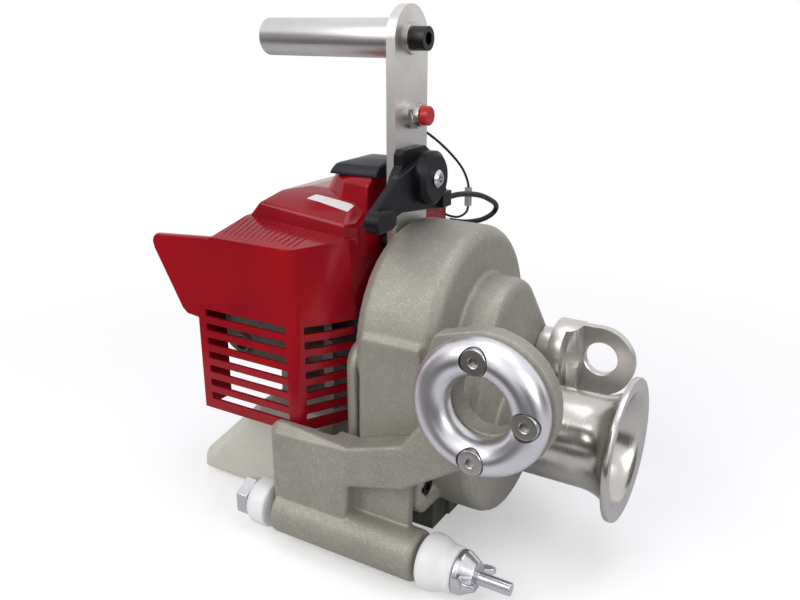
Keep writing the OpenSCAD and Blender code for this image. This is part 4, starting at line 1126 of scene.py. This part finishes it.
@dataclass
class EngineCover:
    """Red engine cover: panels with slots, ribbed shoulder, hood, boss, side wing, cap and bare sticker."""

    back: float = -149.0
    front: float = -18.0
    corner: float = -50.0
    slant: float = 60.3
    half: float = 98.0
    low: float = 100.0
    shoulder: float = 254.0
    wall: float = 2.5
    slots: int = 7
    pitch: float = 12.6
    slot_h: float = 6.5
    corner_round: float = 7.0
    front_round: float = 3.0
    top_round: float = 5.5
    hood_round: float = 2.6
    boss_round: float = 2.4
    wing_round: float = 2.4
    hood_floor: float = 245.0
    boss_floor: float = 262.0
    rib_count: int = 14
    rib_x: float = -121.0
    rib_pitch: float = 5.4
    rib_w: float = 1.5
    rib_h: float = 0.55
    rib_y: tuple[float, float] = (-94.5, -63.5)
    film: float = 0.2
    sticker_corners: Pairs = ((-72.0, -43.9), (-68.7, -36.2), (-29.0, -39.8), (-30.4, -47.4))

    def body_points(self) -> list[Point]:
        """Lists the corners of the lower body, up to the foot of the hood.

        Returns:
            The corners.
        """
        plan = [(self.back, -self.half), (self.corner, -self.half), (self.front, -self.half + 56),
                (self.front, self.half), (self.back, self.half)]
        points: list[Point] = []
        for x, y in plan:
            points.append((x, y, self.low))
            points.append((x, y, self.shoulder - (16 if x == self.back else 0)))
        points += [(-129, y, self.shoulder) for y in (-self.half, self.half)]
        return points + [(x, y, z) for x, z in ((-121, 266), (-20, 258.5)) for y in (-62, 70)]

    def hood_points(self) -> list[Point]:
        """Lists the corners of the hood, with its lip and its cut front corners.

        Returns:
            The corners.
        """
        half = [
            (-120, 61, 260), (-25, 61, 252), (-18.2, 52, 252), (-120, 61, 265), (-108.5, 60, 278),
            (-25, 60, 269), (-18.5, 52, 268), (-105, 37, 284), (-31, 37, 282), (-20, 26, 280),
            (-85, 22, 287.5), (-34, 22, 287.5), (-22, 11, 287),
        ]
        return [(x, side * y, z) for x, y, z in half for side in (-1, 1)]

    def boss_points(self) -> list[Point]:
        """Lists the corners of the boss on the hood.

        Returns:
            The corners.
        """
        foot = ((-71, 21), (-60, 28), (-45, 34.5), (-30, 37.5), (-17.6, 39))
        rings = [
            (262, foot),
            (280, foot),
            (296, ((-63, 21), (-56, 27), (-42, 33), (-30, 35.5), (-17.4, 37))),
            (301.5, ((-58, 20), (-52, 25), (-38, 30), (-17.4, 32))),
        ]
        return [(x, side * y, z) for z, ring in rings for x, y in ring for side in (-1, 1)]

    def within(self, points: Sequence[Point], floor: float) -> Solid:
        """Makes the room inside a convex part of the cover.

        Args:
            points: The part's corners.
            floor: How low the room reaches.

        Returns:
            The solid that is cut away.
        """
        mid_x, mid_y = ((min(p[i] for p in points) + max(p[i] for p in points)) / 2 for i in range(2))
        wall = self.wall
        inner = [
            (x + math.copysign(wall, mid_x - x), y + math.copysign(wall, mid_y - y), z - wall)
            for x, y, z in points
        ]
        low = min(p[2] for p in inner)
        inner += [(x, y, floor) for x, y, z in inner if z == low]
        return hull(inner)

    def skin(self) -> Item:
        """Builds the outside as one closed solid with rounded edges.

        Returns:
            The solid.
        """
        def upright(low: float, high: float) -> EdgeTest:
            """Makes a test for upright edges.

            Args:
                low: The least place along X.
                high: The largest place along X.

            Returns:
                The test.
            """
            def test(edge: bmesh.types.BMEdge) -> bool:
                """Tells whether an edge stands upright between the places."""
                first, second = (v.co for v in edge.verts)
                return abs((first - second).normalized().z) > 0.99 and low < first.x < high
            return test

        def above(level: float) -> EdgeTest:
            """Returns a test for edges that lie above a level."""
            return lambda edge: min(v.co.z for v in edge.verts) > level

        main = soft_hull(self.body_points(), [
            (self.corner_round, 5, 25.0, upright(self.back + 1, self.corner + 2)),
            (self.front_round, 3, 25.0, upright(self.front - 1, self.front + 1)),
            (self.top_round, 4, 14.0, above(self.low + 1)),
        ])
        rear = ((6, 180.5), (-14, 182.5), (-19, 187), (-46, 236), (-47.4, 242), (-46, 246.5), (-42, 249))
        profile = shifted(self.back, 0, rear) + [(-129, self.shoulder - 0.3), (self.back + 26, 246)]
        wing = [(x, y, z) for x, z in profile for y in (-self.half + 0.05, -self.half + 7)]
        item = as_item("red_engine_cover", main)
        for points, rounding in (
            (self.hood_points(), (self.hood_round, 3, 9.0, above(256))),
            (self.boss_points(), (self.boss_round, 3, 9.0, above(275))),
            (wing, (self.wing_round, 4, 30.0, lambda edge: True)),
        ):
            combine(item, soft_hull(points, [rounding]), "UNION")
        return item

    def openings(self) -> list[Solid]:
        """Makes the slots and the openings for starter, carburettor, cable and crankshaft.

        Returns:
            The solids that are cut away.
        """
        cuts = []
        for i in range(self.slots):
            z = self.low + 9 + i * self.pitch
            top = z + self.slot_h
            side = box((self.back + 8, -self.half - 6, z), (self.back + 92, -self.half + 9, top))
            slanted = box((9, -7, z), (55, 7, top))
            turn = Matrix.Rotation(math.radians(self.slant), 4, "Z")
            turn = Matrix.Translation((self.corner, -self.half, 0)) @ turn
            bmesh.ops.transform(slanted, matrix=turn, verts=slanted.verts)
            for slot in (side, slanted):
                round_edges(slot, 1.2, 2, lambda e: abs((e.verts[0].co - e.verts[1].co).z) < 0.01)
                cuts.append(slot)
        crank, low = (0.0, 0.0, CRANK_Z), self.low - 5
        return [
            joined(cuts),
            rod(crank, ALONG_X, self.back - 5, self.back + 12, 68, 72),
            box((self.back - 5, -68, low), (self.back + 7, 68, CRANK_Z)),
            box((-118, self.half - 8, 201.5), (-56, self.half + 5, 241.5)),
            rod(CABLE_ENTRY, ALONG_Y, self.half - 9, self.half + 5, 4.05, 24),
            rod(crank, ALONG_X, self.front - 12, self.front + 5, 55, 72),
            box((self.front - 8, -55, low), (self.front + 5, 55, CRANK_Z)),
        ]

    @staticmethod
    def height(item: Item, x: float, y: float) -> float:
        """Returns how high the skin lies at a place, in millimetres."""
        hit, spot, _, _ = item.ray_cast(Vector((x, y, SKY)) * MM, Vector((0, 0, -1)))
        return spot.z / MM if hit else 0.0

    def ribs(self, item: Item) -> Solid:
        """Makes the fine ribs that lie across the sloping shoulder of the skin.

        Args:
            item: The skin.

        Returns:
            The ribs.
        """
        bars = []
        low, high = self.rib_y
        half, last = self.rib_w / 2, 14
        arch = ((-0.9, 0.2), (-0.5, 0.85), (0.0, 1.0), (0.5, 0.85), (0.9, 0.2))
        for i in range(self.rib_count):
            x = self.rib_x + i * self.rib_pitch
            sections = []
            for k in range(last + 1):
                y = low + (high - low) * k / last
                z = self.height(item, x, y)
                rise = self.rib_h * min(1.0, 0.1 + k / 2, 0.1 + (last - k) / 2)
                line = [(x + half * side, y, z + rise * share) for side, share in arch]
                sections.append([(x - half, y, z - 0.5), *line, (x + half, y, z - 0.5)])
            bars.append(loft(sections))
        return joined(bars)

    def shell(self) -> None:
        """Hollows the skin, cuts its openings, adds the ribs and dresses it."""
        item = self.skin()
        ribs, sticker = self.ribs(item), self.sticker(item)
        parts = (
            (self.body_points(), self.low - 5), (self.hood_points(), self.hood_floor),
            (self.boss_points(), self.boss_floor),
        )
        for solid in [self.within(points, floor) for points, floor in parts] + self.openings():
            combine(item, solid)
        hand_over(as_item("cover_ribs", ribs), RED_COVER, (), 40.0)
        hand_over(as_item("bare_sticker_pad", sticker), STICKER, (), 30.0)
        hand_over(item, RED_COVER, ["engine_cover"], 24.0, True)

    def cap(self) -> None:
        """Builds the black cap with a pillowed top and dresses it."""
        low, high = (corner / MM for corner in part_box("top_cap"))
        rings = [
            (low.z, low.x, low.y, high.y), (low.z + 3, low.x, low.y, high.y), (low.z + 8, -55, -27, 27),
            (high.z - 1.5, -47, -18, 18), (high.z, -40, -9, 9),
        ]
        cage = hull([
            (x, y, z) for z, rear, near, far in rings
            for x, y in ((rear, near), (high.x, near), (high.x, far), (rear, far))
        ])
        round_edges(cage, 2.2, 4, lambda e: min(v.co.z for v in e.verts) > low.z + 1, 6.0)
        item = as_item("black_top_cap", cage)
        hand_over(item, BLACK_CAP, ["top_cap"], 40.0)

    def sticker(self, item: Item) -> Solid:
        """Makes a bare sticker of thin film that lies on the hood of the skin.

        Args:
            item: The skin.

        Returns:
            The film.
        """
        start, left, right, end = (Vector((x, y, 0)) for x, y in self.sticker_corners)
        rows, columns = 16, 6
        sections = []
        for i in range(rows + 1):
            near, far = start.lerp(end, i / rows), left.lerp(right, i / rows)
            line = [near.lerp(far, k / columns) for k in range(columns + 1)]
            film = [(p.x, p.y, self.height(item, p.x, p.y) + self.film) for p in line]
            sections.append(film + [(x, y, z - 0.5) for x, y, z in reversed(film)])
        return loft(sections)

    def build(self) -> None:
        """Builds the shell with its ribs and sticker, and the cap."""
        self.shell()
        self.cap()


@dataclass
class Cords:
    """Throttle cable and stop wire, along the routes of the CAD solids."""

    cable_d: float = 5.0
    cable: tuple[Point, ...] = (
        (8.5, 46, 275.5), (9, 52, 275), (10, 64, 274.5), (10, 84, 271.5), (10, 110, 265.5), (9, 134, 257),
        (7, 152, 249), (4, 159, 242), (0, 156, 236.5), (-5, 145, 233.5), (-12, 131, 233.5), (-19, 120, 235.5),
        (-24, 113, 237.4), (-24.6, 106, 237.6), (-24.6, 100, 237.6), (-24.6, 92, 237.6), (-28, 86, 240),
        (-38, 79, 243), (-50, 75, 243), (-63.9, 75, 243),
    )
    wire_d: float = 2.2
    wire: tuple[Point, ...] = (
        (-17, 0, 348), (-22, 1, 348.5), (-24, 8, 348), (-24, 22, 345), (-18, 45, 332), (-12, 62, 321),
        (-8, 82, 307), (-6, 100, 293), (-6, 112, 281), (-6, 117.5, 271), (-6, 117.5, 261), (-6, 117.5, 251),
        (-7, 114, 246), (-12, 108, 243), (-20, 104, 244.5), (-24, 102, 247), (-24, 98, 247),
    )
    gland_y: float = 112.0
    steps: int = 4

    def path(self, points: Sequence[Point]) -> list[Vector]:
        """Lays a smooth path through the points.

        Args:
            points: The points, in millimetres.

        Returns:
            The path's places, in metres.
        """
        spots = [Vector(p) * MM for p in points]
        ends = [spots[0] * 2 - spots[1]] + spots + [spots[-1] * 2 - spots[-2]]
        smooth = []
        for a, b, c, d in zip(ends, ends[1:], ends[2:], ends[3:]):
            square, cube = 2 * a - 5 * b + 4 * c - d, 3 * b - a - 3 * c + d
            for i in range(self.steps):
                t = i / self.steps
                smooth.append((2 * b + (c - a) * t + square * t ** 2 + cube * t ** 3) / 2)
        return smooth + [spots[-1]]

    def lay(self, name: str, points: Sequence[Point], diameter: float, node: str) -> None:
        """Args:
            name: The piece's name.
            points: Its route in millimetres.
            diameter: Its diameter in millimetres.
            node: The CAD node that it stands for.
        """
        path = self.path(points)
        curve = bpy.data.curves.new(name, "CURVE")
        curve.dimensions = "3D"
        curve.bevel_depth = diameter / 2 * MM
        curve.bevel_resolution = 4
        curve.use_fill_caps = True
        spline = curve.splines.new("POLY")
        spline.points.add(len(path) - 1)
        for point, spot in zip(spline.points, path):
            point.co = (*spot, 1.0)
        item = placed(name, curve)
        hand_over(item, RUBBER, [node])
        length = sum((b - a).length for a, b in zip(path, path[1:]))

    def build(self) -> None:
        """Lays both cords and turns the gland where the cable enters the cover."""
        self.lay("throttle_cable_sleeve", self.cable, self.cable_d, "throttle_cable")
        self.lay("stop_wire_lead", self.wire, self.wire_d, "stop_wire")
        profile = [(-20, 2.52), (-20, 3.4), (-19, 3.7), (-2, 3.7), (-1, 3.4), (0, 2.9), (0, 2.52)]
        x, _, z = CABLE_ENTRY
        gland = turned(profile, (x, self.gland_y, z), ALONG_Y, 32, closed=True)
        hand_over(as_item("cable_gland", gland), ZINC)


@dataclass
class Studio:
    """Camera at the photograph's angle, soft lamps, dark cards, pale floor and white background."""

    lens: float = 36.5
    place: Point = (0.32255, -0.56121, 0.41871)
    pitch: float = 70.9
    turn: float = 30.7
    floor_half: float = 4000.0
    floor_gap: float = 0.0005

    def camera(self) -> None:
        """Makes the camera."""
        data = bpy.data.cameras.new("camera")
        data.lens = self.lens
        data.sensor_width = 36.0
        item = placed("camera", data)
        item.location = self.place
        item.rotation_euler = (math.radians(self.pitch), 0.0, math.radians(self.turn))
        bpy.context.scene.camera = item

    def lamp(self, name: str, place: Point, target: Point, size: float, power: float, colour: Colour) -> None:
        """Adds one soft lamp.

        Args:
            name: The lamp's name.
            place: Where it hangs.
            target: What it shines at.
            size: Its side in metres.
            power: Its power in watts.
            colour: Its colour.
        """
        data = bpy.data.lights.new(name, "AREA")
        data.size = size
        data.energy = power
        data.color = colour
        item = placed(name, data)
        item.location = place
        item.rotation_euler = (Vector(target) - Vector(place)).to_track_quat("-Z", "Y").to_euler()

    def background(self) -> None:
        """Makes a world that is white to the camera and soft grey as a light."""
        world = bpy.data.worlds.new("studio")
        tree = Tree(world, "ShaderNodeOutputWorld")
        camera, glossy, clear = (
            tree.add("LightPath", {}, f"Is {kind} Ray")
            for kind in ("Camera", "Glossy", "Transmission")
        )
        seen = camera.join("MAXIMUM", camera, glossy.join("MAXIMUM", glossy, clear))
        plain = tree.add("Background", {"Color": (0.86, 0.87, 0.9, 1.0), "Strength": 0.36})
        white = tree.add("Background", {"Color": WHITE, "Strength": 1.0})
        tree.show(tree.add("MixShader", {0: seen, 1: plain, 2: white}))
        bpy.context.scene.world = world

    def floor(self) -> None:
        """Lays a pale floor that keeps the object's shadow and fades into the white background."""
        mesh = bmesh.new()
        bmesh.ops.create_grid(mesh, x_segments=1, y_segments=1, size=self.floor_half)
        item = as_item("floor", mesh)
        item.location.z = CAD_BOX[0].z - self.floor_gap
        graph = Graph("pale_floor")
        seen = graph.add("LightPath", {}, "Is Camera Ray")
        far = graph.add("VectorMath", {0: graph.place}, "Value", operation="LENGTH")
        fade = graph.ramp(far, 0.3, 0.8)
        glow = graph.blend(seen, (0.0, 0.0, 0.0), (0.38, 0.38, 0.38))
        grain = graph.ramp(graph.noise(90.0, 3.0), 0.3, 0.7)
        graph.set(
            Base_Color=graph.blend(grain, (0.8, 0.8, 0.8), (0.76, 0.76, 0.76)), Roughness=0.9,
            Specular_IOR_Level=0.1, Emission_Color=glow, Emission_Strength=1.0,
        )
        white = graph.add("Emission", {"Color": WHITE})
        pale = Wire(graph, graph.shader.outputs["BSDF"])
        graph.show(graph.add("MixShader", {0: fade * seen, 1: pale, 2: white}))
        item.data.materials.append(graph.material)

    def flag(self, name: str, place: Point, size: tuple[float, float], turn: Point, shade: float) -> None:
        """Stands a dark card that only reflections see, so that bright metal has contrast.

        Args:
            name: The card's name.
            place: Its middle.
            size: Its width and height in metres.
            turn: Its angles in degrees.
            shade: Its grey.
        """
        mesh = bmesh.new()
        bmesh.ops.create_grid(mesh, x_segments=1, y_segments=1, size=0.5 / MM)
        card = as_item(name, mesh)
        card.scale = (*size, 1.0)
        card.location = place
        card.rotation_euler = tuple(math.radians(a) for a in turn)
        for ray in ("camera", "diffuse", "shadow", "transmission"):
            setattr(card, f"visible_{ray}", False)
        graph = Graph(f"{name}_card")
        graph.set(
            Base_Color=(0.0, 0.0, 0.0), Roughness=1.0, Specular_IOR_Level=0.0, Emission_Strength=1.0,
            Emission_Color=(shade, shade * 0.96, shade * 0.92),
        )
        card.data.materials.append(graph.material)

    def build(self) -> None:
        """Builds the studio."""
        self.camera()
        self.background()
        self.floor()
        self.lamp("key", (-0.6, -1.5, 1.3), (0.0, 0.0, 0.2), 1.3, 19.0, (1.0, 0.985, 0.96))
        self.lamp("top", (0.2, 0.1, 1.7), (0.0, 0.0, 0.2), 1.2, 9.0, (0.9, 0.86, 1.0))
        self.lamp("side", (1.6, -0.5, 0.9), (0.05, 0.0, 0.2), 0.9, 8.0, (1.0, 0.99, 0.97))
        self.flag("flag_floor", (-0.3, -0.98, 0.012), (3.0, 1.3), (0, 0, 0), 0.1)
        self.flag("flag_front", (0.35, -1.5, 0.04), (2.4, 1.3), (8, 0, 14), 0.14)
        self.flag("flag_low", (0.9, -1.1, 0.25), (1.1, 0.5), (90, 0, 42), 0.1)
        self.flag("flag_right", (1.5, 0.35, 0.3), (1.2, 0.9), (90, 0, 95), 0.12)
        self.flag("flag_left", (-1.6, -1.1, 0.45), (1.3, 1.0), (90, 0, -56), 0.2)
        self.flag("flag_band", (-0.35, -1.5, 0.85), (0.5, 1.1), (65, 0, -12), 0.22)


def main() -> None:
    """Builds the studio and every sub-assembly in order."""
    logging.basicConfig(level=logging.INFO, format="%(name)s: %(message)s")
    bpy.context.scene.view_settings.view_transform = "Standard"
    Studio().build()
    Cords().build()
    CadFinishes().dress()
    for assembly in (
        SoftCastings(), EasedParts(), Drum(), RopeGuide(), SwivelEye(), PinEnds(), Grip(), EngineCover(),
    ):
        assembly.build()
        log.info("%s is complete", type(assembly).__name__)
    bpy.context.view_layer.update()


if __name__ == "__main__":
    main()
